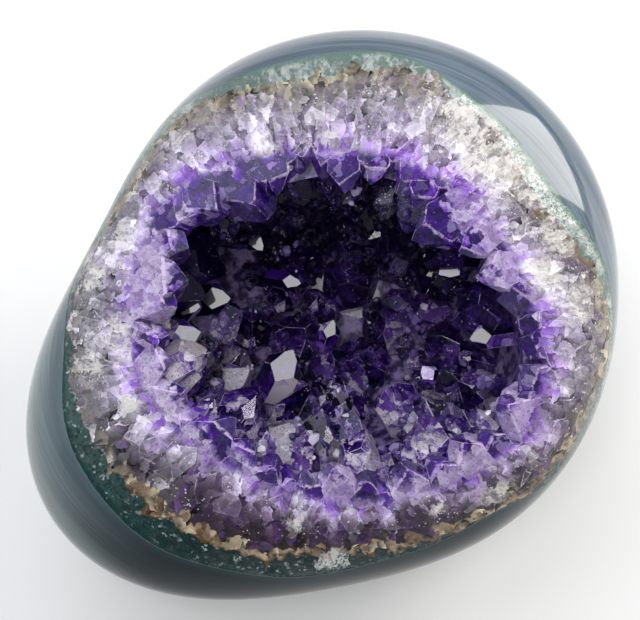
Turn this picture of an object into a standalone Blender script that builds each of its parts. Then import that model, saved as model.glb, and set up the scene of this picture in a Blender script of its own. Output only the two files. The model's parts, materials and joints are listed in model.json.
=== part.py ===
"""Polished amethyst geode: a freeform agate stone whose domed face is cut into a hollow full of crystals.

The stone rests on a small flat spot ground into its underside. Its face looks forward and up, so every
form is first laid out about the face's own axis and then turned into the upright frame. The origin is on
the table under the middle of the stone, +Z is up and -Y is the side that the face looks towards.
"""

import math
import random

import bmesh
import bpy
import numpy as np
from mathutils import Matrix, Quaternion, Vector

MM = 0.001

# The stone, laid out about the face axis: u to the right, v up the face, w out of the face
FACE_ELEVATION = math.radians(65)
OUTLINE_RADII = (72.5, 75.5, 74.5, 70, 64.5, 59.5, 67, 83, 79.5, 68, 67.5, 70.5)
FACE_RISE = 38
BACK_DROP = 56
FACE_SQUARENESS = 2.5
BACK_SQUARENESS = 2.2
FLAT_SPOT_DEPTH = 5

# The hollow, about the same axis
MOUTH_RADII = (50, 44, 41, 38, 38.5, 44, 46.5, 44.5, 42, 43, 48, 54)
HOLLOW_LEVEL = 16
HOLLOW_DEPTH = 44
HOLLOW_HEADROOM = 70
HOLLOW_SQUARENESS = 2.4
HOLLOW_LEAN = 9

# The crust of crystals that lines the hollow
CRUST_GAP = 0.4
CRUST_THICKNESS = 6
CRYSTAL_COUNT = 120
CRYSTAL_ROOT = 1.8
CRYSTAL_RADIUS = (6.2, 9.2)
CRYSTAL_REACH = (9.5, 14.5)
CRYSTAL_TILT = math.radians(17)
TIP_FACE_SLOPE = math.radians(38.2)
MAJOR_FACE_SETBACK = (0, 0.06)
MINOR_FACE_SETBACK = (0.12, 0.4)
SEED = 11

STONE_SEGMENTS = 50
STONE_RINGS = 26
HOLLOW_SEGMENTS = 36
HOLLOW_RINGS = 18
SMALLEST_EDGE = 0.01 * MM

GOLDEN_ANGLE = math.pi * (3 - math.sqrt(5))


def clear_scene():
    """Removes every object that the file was opened with."""
    for item in list(bpy.data.objects):
        bpy.data.objects.remove(item)


def collection(name):
    """A new collection in the scene."""
    made = bpy.data.collections.new(name)
    bpy.context.scene.collection.children.link(made)
    return made


def stone_material(name, colour, roughness, transmission=0.0):
    """A Principled material of one colour."""
    made = bpy.data.materials.new(name)
    made.use_nodes = True
    made.diffuse_color = (*colour, 1)
    shader = made.node_tree.nodes["Principled BSDF"]
    shader.inputs["Base Color"].default_value = (*colour, 1)
    shader.inputs["Roughness"].default_value = roughness
    shader.inputs["Metallic"].default_value = 0
    shader.inputs["Transmission Weight"].default_value = transmission
    return made


def add_object(name, mesh, home, material=None):
    """An object for a mesh, in one collection."""
    made = bpy.data.objects.new(name, mesh)
    home.objects.link(made)
    if material:
        mesh.materials.append(material)
    return made


def mesh_from(bm, name):
    """Turns a bmesh into a mesh and frees it."""
    mesh = bpy.data.meshes.new(name)
    bm.to_mesh(mesh)
    bm.free()
    return mesh


def around(radii, angle):
    """The radius at an angle, on one smooth closed curve through evenly spaced radii."""
    terms = np.fft.rfft(radii) / len(radii)
    total = terms[0].real
    for k in range(1, len(terms)):
        weight = 1 if 2 * k == len(radii) else 2
        turn = complex(math.cos(k * angle), math.sin(k * angle))
        total += weight * (terms[k] * turn).real
    return total


def rounded(angle, squareness):
    """The outward and the axial share of a rounded profile, at an angle above its waist."""
    outward = max(0.0, math.cos(angle)) ** (2 / squareness)
    axial = math.copysign(abs(math.sin(angle)) ** (2 / squareness), angle)
    return outward, axial


def stone_point(bearing, rise):
    """A point of the stone's skin, in millimetres about the face axis."""
    front = rise > 0
    outward, axial = rounded(rise, FACE_SQUARENESS if front else BACK_SQUARENESS)
    radius = around(OUTLINE_RADII, bearing) * outward
    height = (FACE_RISE if front else BACK_DROP) * axial
    return Vector((radius * math.cos(bearing), radius * math.sin(bearing), height))


def hollow_point(bearing, rise, inset=0.0):
    """A point of the hollow's wall, in millimetres about the face axis, drawn in by an inset."""
    outward, axial = rounded(rise, HOLLOW_SQUARENESS)
    radius = (around(MOUTH_RADII, bearing) - inset) * outward
    height = ((HOLLOW_HEADROOM if rise > 0 else HOLLOW_DEPTH) - inset) * axial
    lean = HOLLOW_LEAN * max(0.0, -height) / HOLLOW_DEPTH
    return Vector((radius * math.cos(bearing), radius * math.sin(bearing) + lean, HOLLOW_LEVEL + height))


def face_turn():
    """Turns the face's own axes (u, v, w) into the upright frame."""
    s, c = math.sin(FACE_ELEVATION), math.cos(FACE_ELEVATION)
    return Matrix(((1, 0, 0), (0, s, -c), (0, c, s)))


def lowest_skin_level():
    """The height of the stone's lowest skin point before the flat is ground, in millimetres."""
    turn = face_turn()
    steps = 180
    levels = []
    for i in range(steps):
        for j in range(steps // 2):
            bearing = 2 * math.pi * i / steps
            rise = -math.pi * j / steps
            levels.append((turn @ stone_point(bearing, rise)).z)
    return min(levels)


def ball_form(name, segments, rings, place, upright):
    """A closed form: a UV sphere whose points are moved by a rule of bearing and rise."""
    bm = bmesh.new()
    bmesh.ops.create_uvsphere(bm, u_segments=segments, v_segments=rings, radius=1)
    for vertex in bm.verts:
        bearing = math.atan2(vertex.co.y, vertex.co.x)
        rise = math.asin(max(-1.0, min(1.0, vertex.co.z)))
        vertex.co = place(bearing, rise)
    bm.transform(upright)
    return mesh_from(bm, name)


def boolean(target, operation, other, fuse=False):
    """Adds a Boolean modifier. fuse is for an operand made of pieces that overlap each other."""
    step = target.modifiers.new(f"{operation.lower()} {other.name}", "BOOLEAN")
    step.operation = operation
    step.solver = "EXACT"
    step.object = other
    step.use_self = fuse


def cutter_object(name, mesh, home):
    """An object that only cuts, joins or trims others."""
    made = add_object(name, mesh, home)
    made.hide_render = True
    made.display_type = "WIRE"
    return made


def keep_largest_island(bm):
    """Deletes all but the largest connected skin: the rest bounds sealed gaps and chips cut loose."""
    waiting = set(bm.verts)
    islands = []
    while waiting:
        reached = [waiting.pop()]
        island = set(reached)
        while reached:
            for edge in reached.pop().link_edges:
                for vertex in edge.verts:
                    if vertex in waiting:
                        waiting.remove(vertex)
                        island.add(vertex)
                        reached.append(vertex)
        islands.append(island)
    islands.sort(key=len)
    for island in islands[:-1]:
        bmesh.ops.delete(bm, geom=list(island), context="VERTS")


def settle(target, smallest_edge):
    """Applies an object's modifiers and merges points closer together than the smallest edge."""
    graph = bpy.context.evaluated_depsgraph_get()
    settled = bpy.data.meshes.new_from_object(target.evaluated_get(graph), depsgraph=graph)
    target.modifiers.clear()
    bm = bmesh.new()
    bm.from_mesh(settled)
    keep_largest_island(bm)
    bmesh.ops.remove_doubles(bm, verts=bm.verts, dist=smallest_edge)
    bmesh.ops.dissolve_degenerate(bm, edges=bm.edges, dist=smallest_edge)
    bmesh.ops.triangulate(bm, faces=bm.faces)
    bm.to_mesh(settled)
    bm.free()
    target.data = settled


def quartz_point(radius, reach, setbacks):
    """One quartz point: a six-sided prism whose end is cut to six sloping faces, each set back a little."""
    bm = bmesh.new()
    bmesh.ops.create_cone(bm, cap_ends=True, segments=6, radius1=radius, radius2=radius, depth=reach)
    bmesh.ops.translate(bm, verts=bm.verts, vec=(0, 0, reach / 2))
    for k, setback in enumerate(setbacks):
        bearing = math.radians(30 + 60 * k)
        out = math.cos(TIP_FACE_SLOPE)
        normal = Vector((out * math.cos(bearing), out * math.sin(bearing), math.sin(TIP_FACE_SLOPE)))
        through = Vector((0, 0, reach + setback * radius))
        parts = bm.verts[:] + bm.edges[:] + bm.faces[:]
        bmesh.ops.bisect_plane(bm, geom=parts, plane_co=through, plane_no=normal, clear_outer=True)
        bmesh.ops.holes_fill(bm, edges=bm.edges[:])
    bmesh.ops.recalc_face_normals(bm, faces=bm.faces[:])
    return bm


def wall_places(count):
    """Spreads bearings and rises evenly over the hollow's wall, from its floor to above its mouth."""
    top = math.sin(math.radians(24))
    for i in range(count):
        level = -1 + (1 + top) * (i + 0.5) / count
        yield (i * GOLDEN_ANGLE) % (2 * math.pi), math.asin(level)


def inward(bearing, rise):
    """The direction square to the hollow's wall, pointing into the hollow."""
    step = 0.01
    middle = hollow_point(bearing, rise)
    along = hollow_point(bearing + step, rise) - middle
    up = hollow_point(bearing, rise + step) - middle
    return up.cross(along).normalized()


def crystal_bed(name, upright):
    """All the quartz points of the crust, each square to the wall apart from a random tilt."""
    chance = random.Random(SEED)
    bed = bmesh.new()
    for bearing, rise in wall_places(CRYSTAL_COUNT):
        radius = chance.uniform(*CRYSTAL_RADIUS)
        reach = chance.uniform(*CRYSTAL_REACH)
        setbacks = [chance.uniform(*(MINOR_FACE_SETBACK if k % 2 else MAJOR_FACE_SETBACK)) for k in range(6)]
        growth = inward(bearing, rise)
        tilt_axis = growth.orthogonal().normalized()
        tilt_axis.rotate(Quaternion(growth, chance.uniform(0, 2 * math.pi)))
        growth.rotate(Quaternion(tilt_axis, chance.uniform(0, CRYSTAL_TILT)))
        spin = Quaternion((0, 0, 1), chance.uniform(0, math.pi / 3))
        turn = (growth.to_track_quat("Z", "Y") @ spin).to_matrix().to_4x4()
        root = hollow_point(bearing, rise, CRUST_THICKNESS - CRYSTAL_ROOT)
        crystal = quartz_point(radius, reach, setbacks)
        crystal.transform(upright @ Matrix.Translation(root) @ turn)
        one = mesh_from(crystal, "quartz_point")
        bed.from_mesh(one)
        bpy.data.meshes.remove(one)
    return mesh_from(bed, name)


def main():
    clear_scene()
    parts = collection("polished_amethyst_geode")
    cutters = collection("cutters")

    agate = stone_material("agate", (0.2, 0.27, 0.31), 0.12)
    amethyst = stone_material("amethyst", (0.2, 0.06, 0.42), 0.06, transmission=0.6)

    turn = face_turn().to_4x4()
    floor_level = lowest_skin_level() + FLAT_SPOT_DEPTH
    tessellated = ball_form("measure", STONE_SEGMENTS, STONE_RINGS, stone_point, turn)
    ys = [v.co.y for v in tessellated.vertices]
    xs = [v.co.x for v in tessellated.vertices]
    middle = Vector((max(xs) + min(xs), max(ys) + min(ys), 2 * floor_level)) / 2
    bpy.data.meshes.remove(tessellated)
    upright = Matrix.Scale(MM, 4) @ Matrix.Translation(-middle) @ turn

    stone = ball_form("agate_shell", STONE_SEGMENTS, STONE_RINGS, stone_point, upright)
    shell = add_object("agate_shell", stone, parts, agate)
    dome = cutter_object("dome", stone.copy(), cutters)

    ground = bmesh.new()
    bmesh.ops.create_cube(ground, size=1)
    bmesh.ops.translate(ground, verts=ground.verts, vec=(0, 0, -0.5))
    table = cutter_object("table", mesh_from(ground, "table"), cutters)

    def hollow(name, inset):
        rule = lambda bearing, rise: hollow_point(bearing, rise, inset)
        return cutter_object(name, ball_form(name, HOLLOW_SEGMENTS, HOLLOW_RINGS, rule, upright), cutters)

    boolean(shell, "DIFFERENCE", table)
    boolean(shell, "DIFFERENCE", hollow("hollow", 0))
    settle(shell, SMALLEST_EDGE)

    lining = hollow("lining", CRUST_GAP).data.copy()
    crust = add_object("amethyst_crust", lining, parts, amethyst)
    bed = cutter_object("crystal_bed", crystal_bed("crystal_bed", upright), cutters)
    boolean(crust, "DIFFERENCE", hollow("free_space", CRUST_GAP + CRUST_THICKNESS))
    boolean(crust, "UNION", bed, fuse=True)
    boolean(crust, "INTERSECT", dome)
    settle(crust, SMALLEST_EDGE)

    for item in (shell, crust):
        print(item.name, "triangles:", len(item.data.polygons))


main()
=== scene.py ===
"""Looks of a polished amethyst geode: a freeform agate stone with a hollow of purple quartz crystals.

Each form is laid out about the axis of the stone's cut face, in millimetres (u to the right, v up the face,
w out of it), and is then turned upright to stand where the construction model stands.
"""

import json
import math
import random

import bmesh
import bpy
import numpy as np
from bpy.props import BoolProperty, FloatProperty, FloatVectorProperty, IntProperty, PointerProperty
from mathutils import Matrix, Quaternion, Vector

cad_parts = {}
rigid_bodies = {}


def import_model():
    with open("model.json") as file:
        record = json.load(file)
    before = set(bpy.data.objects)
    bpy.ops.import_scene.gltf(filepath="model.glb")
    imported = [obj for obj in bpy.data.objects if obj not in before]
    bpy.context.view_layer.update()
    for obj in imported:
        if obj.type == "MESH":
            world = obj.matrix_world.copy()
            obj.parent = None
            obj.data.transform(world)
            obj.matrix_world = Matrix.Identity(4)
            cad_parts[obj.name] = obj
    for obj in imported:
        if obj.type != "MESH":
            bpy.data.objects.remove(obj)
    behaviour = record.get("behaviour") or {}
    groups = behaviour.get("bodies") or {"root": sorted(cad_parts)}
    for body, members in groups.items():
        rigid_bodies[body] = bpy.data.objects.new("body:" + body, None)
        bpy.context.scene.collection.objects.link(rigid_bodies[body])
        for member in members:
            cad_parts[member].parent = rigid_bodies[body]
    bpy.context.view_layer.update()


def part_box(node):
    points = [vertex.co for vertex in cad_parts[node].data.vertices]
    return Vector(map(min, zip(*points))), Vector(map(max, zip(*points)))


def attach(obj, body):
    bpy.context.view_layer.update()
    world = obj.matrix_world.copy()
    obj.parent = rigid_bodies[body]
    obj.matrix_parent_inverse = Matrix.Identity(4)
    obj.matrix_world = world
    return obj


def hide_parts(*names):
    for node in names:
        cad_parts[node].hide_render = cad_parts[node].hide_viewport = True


bl_info = {
    "name": "Polished Amethyst Geode",
    "version": (1, 0, 0),
    "blender": (4, 5, 0),
    "location": "View3D > Sidebar > Geode",
    "description": "Builds the polished agate stone, its bed of amethyst crystals and a small studio",
    "category": "Object",
}

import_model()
STONE_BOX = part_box("agate_shell")

MM = 0.001
GOLDEN_ANGLE = math.pi * (3 - math.sqrt(5))

# The stone and its hollow, as the construction model has them
FACE_ELEVATION = math.radians(65)
OUTLINE_RADII = (72.5, 75.5, 74.5, 70, 64.5, 59.5, 67, 83, 79.5, 68, 67.5, 70.5)
FACE_RISE = 38
BACK_DROP = 56
FACE_SQUARENESS = 2.5
BACK_SQUARENESS = 2.2
MOUTH_RADII = (50, 44, 41, 38, 38.5, 44, 46.5, 44.5, 42, 43, 48, 54)
HOLLOW_LEVEL = 16
HOLLOW_DEPTH = 44
HOLLOW_HEADROOM = 70
HOLLOW_SQUARENESS = 2.4
HOLLOW_LEAN = 9
CRUST_THICKNESS = 6
CRYSTAL_COUNT = 120
CRYSTAL_ROOT = 1.8
CRYSTAL_RADIUS = (6.2, 9.2)
CRYSTAL_REACH = (9.5, 14.5)
CRYSTAL_TILT = math.radians(17)
TIP_FACE_SLOPE = math.radians(38.2)
MAJOR_FACE_SETBACK = (0, 0.06)
MINOR_FACE_SETBACK = (0.12, 0.4)
CRYSTAL_SEED = 11

# The camera looks along the face axis; lights stand at places in metres from the middle of the face
CAMERA_DISTANCE = 0.45
PICTURE_WIDTH_AT_STONE = 0.160
CAMERA_SHIFT = (-1.25, 1.25)
WINDOW = (0.55, 0.34, 0.28)
OVERHEAD = (-0.3, 0.3, 0.8)
LAMP = (-0.1, -0.33, 0.84)
LEFT_CARD = (-0.85, 0.05, 0.25)

# Where the layers come to the polished skin, every 15 degrees round the face, as distances out from the
# hollow's mouth along the skin: first the tan line, then the edge of the blue-grey rind
TAN_LINE = (
    18.5, 12.5, 10, 12, 16, 19, 15.5, 16.5, 19, 18, 14, 16,
    14, 12, 13.5, 14, 14, 14, 11, 10.5, 9.5, 11, 13.5, 16,
)
RIND_LINE = (
    26, 23, 18.5, 20.5, 23.5, 28, 27, 27, 28.5, 33, 30, 26,
    20, 20.5, 24.5, 26.3, 26, 24.3, 22.4, 18.3, 15.4, 15, 27, 30,
)

# How milky the quartz is, every 30 degrees round the face
MILKINESS = (0.3, 0.6, 0.6, 0.35, 0.45, 0.75, 0.95, 0.9, 0.7, 0.5, 0.5, 0.1)

# The layers' noises are read on a ring of this radius, so that they meet without a seam
RING_RADIUS = 55


def around(radii, angle):
    """The radius at an angle, on one smooth closed curve through evenly spaced radii."""
    terms = np.fft.rfft(radii) / len(radii)
    total = terms[0].real + 0 * angle
    for k in range(1, len(terms)):
        weight = 1 if 2 * k == len(radii) else 2
        total = total + weight * (terms[k].real * np.cos(k * angle) - terms[k].imag * np.sin(k * angle))
    return total


def rounded(angle, squareness):
    """The outward and the axial share of a rounded profile, at an angle above its waist."""
    outward = np.clip(np.cos(angle), 0, None) ** (2 / squareness)
    axial = np.sign(angle) * np.abs(np.sin(angle)) ** (2 / squareness)
    return outward, axial


def in_rings(radius, bearing, height):
    """Points from radius, bearing and height, as an array of (u, v, w)."""
    return np.stack([radius * np.cos(bearing), radius * np.sin(bearing), height + 0 * bearing], axis=-1)


def skin_points(bearing, rise):
    """Points of the stone's skin at bearings and rises."""
    front = rise > 0
    outward, axial = rounded(rise, np.where(front, FACE_SQUARENESS, BACK_SQUARENESS))
    height = np.where(front, FACE_RISE, BACK_DROP) * axial
    return in_rings(around(OUTLINE_RADII, bearing) * outward, bearing, height)


def wall_points(bearing, rise, inset=0.0):
    """Points of the hollow's wall, drawn in by an inset."""
    outward, axial = rounded(rise, HOLLOW_SQUARENESS)
    height = (np.where(rise > 0, HOLLOW_HEADROOM, HOLLOW_DEPTH) - inset) * axial
    points = in_rings((around(MOUTH_RADII, bearing) - inset) * outward, bearing, HOLLOW_LEVEL + height)
    points[..., 1] += HOLLOW_LEAN * np.clip(-height, 0, None) / HOLLOW_DEPTH
    return points


def skin_rise_at(bearing, radius):
    """The rise at which the face comes to a radius from its axis."""
    share = np.clip(radius / around(OUTLINE_RADII, bearing), 0, 1)
    return np.arccos(share ** (FACE_SQUARENESS / 2))


WALK_STEPS = 24


def skin_distance(bearing, radius):
    """The way along the skin from the hollow's mouth out to a radius."""
    first = skin_rise_at(bearing, around(MOUTH_RADII, bearing))
    last = skin_rise_at(bearing, radius)
    walk = [skin_points(bearing, first + (last - first) * i / WALK_STEPS) for i in range(WALK_STEPS + 1)]
    length = sum(np.linalg.norm(walk[i + 1] - walk[i], axis=-1) for i in range(WALK_STEPS))
    return np.where(last < first, length, -length)


def growth_values(bearing, from_mouth):
    """What the layers' colours are read from: distances from their lines with the milkiness, and a place."""
    from_tan = from_mouth - around(TAN_LINE, bearing)
    from_rind = from_mouth - around(RIND_LINE, bearing)
    growth = np.stack([from_tan, from_rind, around(MILKINESS, bearing) + 0 * from_mouth], axis=-1)
    return growth, in_rings(RING_RADIUS, bearing + 0 * from_mouth, from_mouth)


def face_turn():
    """Turns the face's own axes (u, v, w) into the upright frame."""
    s, c = math.sin(FACE_ELEVATION), math.cos(FACE_ELEVATION)
    return Matrix(((1, 0, 0), (0, s, -c), (0, c, s)))


def upright_matrix():
    """Stands the stone, laid out about its face axis, where the construction model stands."""
    bearing, rise = np.meshgrid(np.linspace(0, 2 * math.pi, 721), np.linspace(-1.57, 1.57, 361))
    turned = skin_points(bearing, rise).reshape(-1, 3) @ np.array(face_turn()).T * MM
    low, high = turned.min(0), turned.max(0)
    middle = (STONE_BOX[0] + STONE_BOX[1]) / 2
    centre = (low + high) / 2
    shift = Vector((middle.x - centre[0], middle.y - centre[1], STONE_BOX[1].z - high[2]))
    return Matrix.Translation(shift) @ face_turn().to_4x4() @ Matrix.Scale(MM, 4)


UPRIGHT = upright_matrix()
FACE_AXIS = (face_turn() @ Vector((0, 0, 1))).normalized()
FACE_CENTRE = UPRIGHT @ Vector((0, 0, 0))


def stand(points):
    """Face-frame points in millimetres as upright points in metres."""
    turn = np.array(UPRIGHT)
    return points @ turn[:3, :3].T + turn[:3, 3]


class Flow:
    """A value that flows through a tree's nodes; sums and products add Math nodes to it."""

    def __init__(self, tree, socket):
        self.tree = tree
        self.socket = socket

    def maths(self, operation, *values):
        return self.tree.node("ShaderNodeMath", {"operation": operation}, *values)

    def __add__(self, other):
        return self.maths("ADD", self, other)

    def __sub__(self, other):
        return self.maths("SUBTRACT", self, other)

    def __rsub__(self, other):
        return self.maths("SUBTRACT", other, self)

    def __mul__(self, other):
        return self.maths("MULTIPLY", self, other)

    def __truediv__(self, other):
        return self.maths("DIVIDE", self, other)

    def __pow__(self, other):
        return self.maths("POWER", self, other)

    __radd__ = __add__
    __rmul__ = __mul__

    def clamp(self):
        return self.tree.node("ShaderNodeClamp", {}, self, 0, 1)

    def at_least(self, other):
        return self.maths("MAXIMUM", self, other)

    def at_most(self, other):
        return self.maths("MINIMUM", self, other)

    def absolute(self):
        return self.maths("ABSOLUTE", self)

    def step(self, start, end):
        """0 before start and 1 after end, eased between."""
        values = (self, start, end, 0, 1)
        return self.tree.node("ShaderNodeMapRange", {"interpolation_type": "SMOOTHSTEP"}, *values)


class Tree:
    """A node tree, and short ways to add nodes to it."""

    def __init__(self, tree):
        self.tree = tree
        tree.nodes.clear()

    def node(self, kind, settings, *values, output=0, named=None):
        """Adds a node: its settings first, then the values or links of its sockets."""
        made = self.tree.nodes.new(kind)
        for key, value in settings.items():
            setattr(made, key, value)
        for socket, value in zip(made.inputs, values):
            self.plug(socket, value)
        for key, value in (named or {}).items():
            self.plug(next(s for s in made.inputs if s.name == key and s.enabled), value)
        if isinstance(output, str):
            return Flow(self, next(s for s in made.outputs if s.name == output and s.enabled))
        return Flow(self, made.outputs[output])

    def vectors(self, operation, *values, output=0, named=None):
        settings = {"operation": operation}
        return self.node("ShaderNodeVectorMath", settings, *values, output=output, named=named)

    def plug(self, socket, value):
        """Links a flow to a socket, or sets the socket's own value."""
        if isinstance(value, Flow):
            self.tree.links.new(value.socket, socket)
        elif value is not None:
            if isinstance(value, tuple) and len(value) == 3 and socket.type == "RGBA":
                value = (*value, 1)
            socket.default_value = value


class Paint(Tree):
    """One material's node tree, and short ways to add its nodes."""

    def __init__(self, name):
        self.material = bpy.data.materials.new(name)
        self.material.use_nodes = True
        super().__init__(self.material.node_tree)

    def attribute(self, name, output="Fac"):
        return self.node("ShaderNodeAttribute", {"attribute_name": name}, output=output)

    def attributes(self, *names):
        return [self.attribute(name) for name in names]

    def parts(self, vector):
        """The three numbers of a vector."""
        split = self.node("ShaderNodeSeparateXYZ", {}, vector)
        return [Flow(self, output) for output in split.socket.node.outputs]

    def place(self):
        """Object coordinates in millimetres."""
        point = self.node("ShaderNodeTexCoord", {}, output="Object")
        return self.scaled(point, 1 / MM)

    def up_the_face(self, place):
        """How far a place is up the cut face from its axis, in millimetres."""
        up = face_turn() @ Vector((0, 1, 0))
        start = up.dot(FACE_CENTRE) / MM
        return self.vectors("DOT_PRODUCT", place, up[:], output="Value") - start

    def scaled(self, vector, factor):
        return self.vectors("SCALE", vector, named={"Scale": factor})

    def stretched(self, vector, factors):
        return self.vectors("MULTIPLY", vector, factors)

    def moved(self, vector, other):
        return self.vectors("ADD", vector, other)

    def gap(self, place, other):
        return self.vectors("DISTANCE", place, other, output="Value")

    def noise(self, vector, scale, detail=3.0, roughness=0.5, distortion=0.0, output=0):
        named = {"Vector": vector, "Scale": scale, "Detail": detail, "Roughness": roughness}
        named["Distortion"] = distortion
        return self.node("ShaderNodeTexNoise", {}, named=named, output=output)

    def cells(self, vector, scale, distance="EUCLIDEAN", output=0):
        named = {"Vector": vector, "Scale": scale}
        return self.node("ShaderNodeTexVoronoi", {"distance": distance}, named=named, output=output)

    def facets(self, vector, scale):
        """A height that tilts each cell its own way, like a bed of flat crystal faces, and its colour."""
        colour = self.cells(vector, scale, output="Color")
        seat = colour.socket.node.outputs["Position"]
        offset = self.vectors("SUBTRACT", vector, Flow(self, seat))
        lean = self.vectors("SUBTRACT", colour, (0.5, 0.5, 0.5))
        return self.vectors("DOT_PRODUCT", offset, lean, output="Value"), colour

    def shards(self, place, bend):
        """How bright each clear splinter inside a crystal is, from 0 to 1, on places bent by a noise."""
        bent = self.moved(place, self.scaled(self.moved(bend, (-0.5, -0.5, -0.5)), 5.0))
        wide, narrow, _ = self.parts(self.cells(bent, 0.42, output="Color"))
        fine = (self.noise(bent, 0.9, 3, 0.75) - 0.5) * 1.8 + 0.5
        return wide * 0.55 + fine * 0.45, narrow

    def mix(self, first, second, share):
        """A colour between two, at a share from 0 to 1."""
        made = self.tree.nodes.new("ShaderNodeMix")
        made.data_type = "RGBA"
        made.clamp_factor = True
        sockets = [s for s in made.inputs if s.enabled]
        for socket, value in zip(sockets, (share, first, second)):
            self.plug(socket, value)
        return Flow(self, next(s for s in made.outputs if s.enabled))

    def ramp(self, value, stops):
        """A colour read off a ramp of (position, colour) stops."""
        made = self.node("ShaderNodeValToRGB", {}, value)
        ramp = made.socket.node.color_ramp
        while len(ramp.elements) < len(stops):
            ramp.elements.new(0.5)
        for element, (position, colour) in zip(ramp.elements, stops):
            element.position = position
            element.color = (*colour, 1)
        return made

    def bump(self, height, strength):
        """A normal bent by a height in millimetres."""
        return self.node("ShaderNodeBump", {}, named={"Height": height, "Strength": strength, "Distance": MM})

    def absorption(self, colour, density):
        return self.node("ShaderNodeVolumeAbsorption", {}, colour, density)

    def principled(self, **named):
        spaced = {key.replace("_", " "): value for key, value in named.items()}
        return self.node("ShaderNodeBsdfPrincipled", {}, named=spaced)

    def finish(self, surface, volume=None):
        """Closes the material with its surface and volume."""
        out = self.tree.nodes.new("ShaderNodeOutputMaterial")
        self.plug(out.inputs["Surface"], surface)
        self.plug(out.inputs["Volume"], volume)
        return self.material


class GeodeSettings(bpy.types.PropertyGroup):
    """Sizes and colours of the geode that a user would change."""

    rind_colour: FloatVectorProperty(
        name="Rind colour", description="Blue-grey of the agate rind", subtype="COLOR", size=3,
        min=0, max=1, default=(0.1, 0.13, 0.165),
    )
    teal_colour: FloatVectorProperty(
        name="Teal colour", description="Green of the quartz under the rind", subtype="COLOR", size=3,
        min=0, max=1, default=(0.028, 0.08, 0.078),
    )
    quartz_colour: FloatVectorProperty(
        name="Pale quartz colour", description="Lilac-white of the crystals' roots", subtype="COLOR", size=3,
        min=0, max=1, default=(0.4, 0.22, 0.72),
    )
    amethyst_colour: FloatVectorProperty(
        name="Amethyst colour", description="Purple of the crystals' tips", subtype="COLOR", size=3,
        min=0, max=1, default=(0.04, 0.006, 0.2),
    )
    small_crystals: IntProperty(
        name="Small crystals", description="How many small points grow between the large ones",
        min=0, max=6000, default=3000,
    )
    small_size: FloatProperty(
        name="Small crystal size", description="Radius of the largest of the small points", unit="LENGTH",
        min=0.0005, max=0.01, default=0.0013,
    )
    floor_size: FloatProperty(
        name="Floor size", description="Width of the plain floor", unit="LENGTH", min=1, max=50, default=12,
    )
    show_floor: BoolProperty(name="Floor", description="Add the plain pale floor", default=True)


# Where the tan line nearly fades out: a place round the face, and how far from it the line comes back
FAINT_TAN = (((-54, -8, 0), 16, 36), ((30, 46, 0), 4, 32))
FAINTEST_TAN = 0.15

# Where the violet of the tips spreads out past the hollow's mouth, how far it reaches, and how it fades
VIOLET_SEAT = (-38, 40, 0)
VIOLET_REACH = 4.5
VIOLET_FADE = (8, 38)

# White, crumbly quartz where the stone is cracked or chipped: bearing in degrees, distance out from the
# hollow's mouth, and size
CHALK_SPOTS = (
    (50, 13, 10), (41, 9, 8), (57, 18, 6), (30, 15, 6), (11, 5, 6), (2, 12, 5), (185, 1, 7), (205, 5, 3),
    (272, 17, 4), (88, 3, 3), (110, 4, 5), (160, 9, 6), (262, 7, 3), (300, 5, 3), (315, 9, 4), (24, 18, 6),
    (18, 12, 5), (33, 20, 6), (171, 13, 5), (192, 12, 5),
)

# The quartz's colours from the hollow's violet, past its mouth at MOUTH_STOP, to the brown at the tan line
MOUTH_STOP = 1 / 3
QUARTZ_STOPS = (
    (0.0, (0.09, 0.012, 0.42)),
    (0.32, (0.34, 0.15, 0.68)),
    (0.5, (0.62, 0.5, 0.76)),
    (0.67, (0.38, 0.31, 0.45)),
    (0.82, (0.14, 0.1, 0.15)),
    (1.0, (0.09, 0.075, 0.075)),
)
# How far the outer ring darkens on its unlit lower side: partly smoke-dark quartz, partly painted shade
SMOKE_AND_SHADE_FACTORS = (0.36, 0.27, 0.33)
PEARL_SHEEN = (0.44, 0.41, 0.47)
STONE_GREY = (0.27, 0.27, 0.28)
OLIVE = (0.27, 0.235, 0.165)
FROST = (0.88, 0.84, 0.92)
DARK_FLAW = (0.07, 0.035, 0.12)
PURPLE_SPLINTER = (0.2, 0.07, 0.36)
PIT_COLOUR = (0.08, 0.04, 0.14)
GLINT_COLOUR = (0.95, 0.93, 0.97)
CRUMB_COLOUR = (0.84, 0.8, 0.77)


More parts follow.
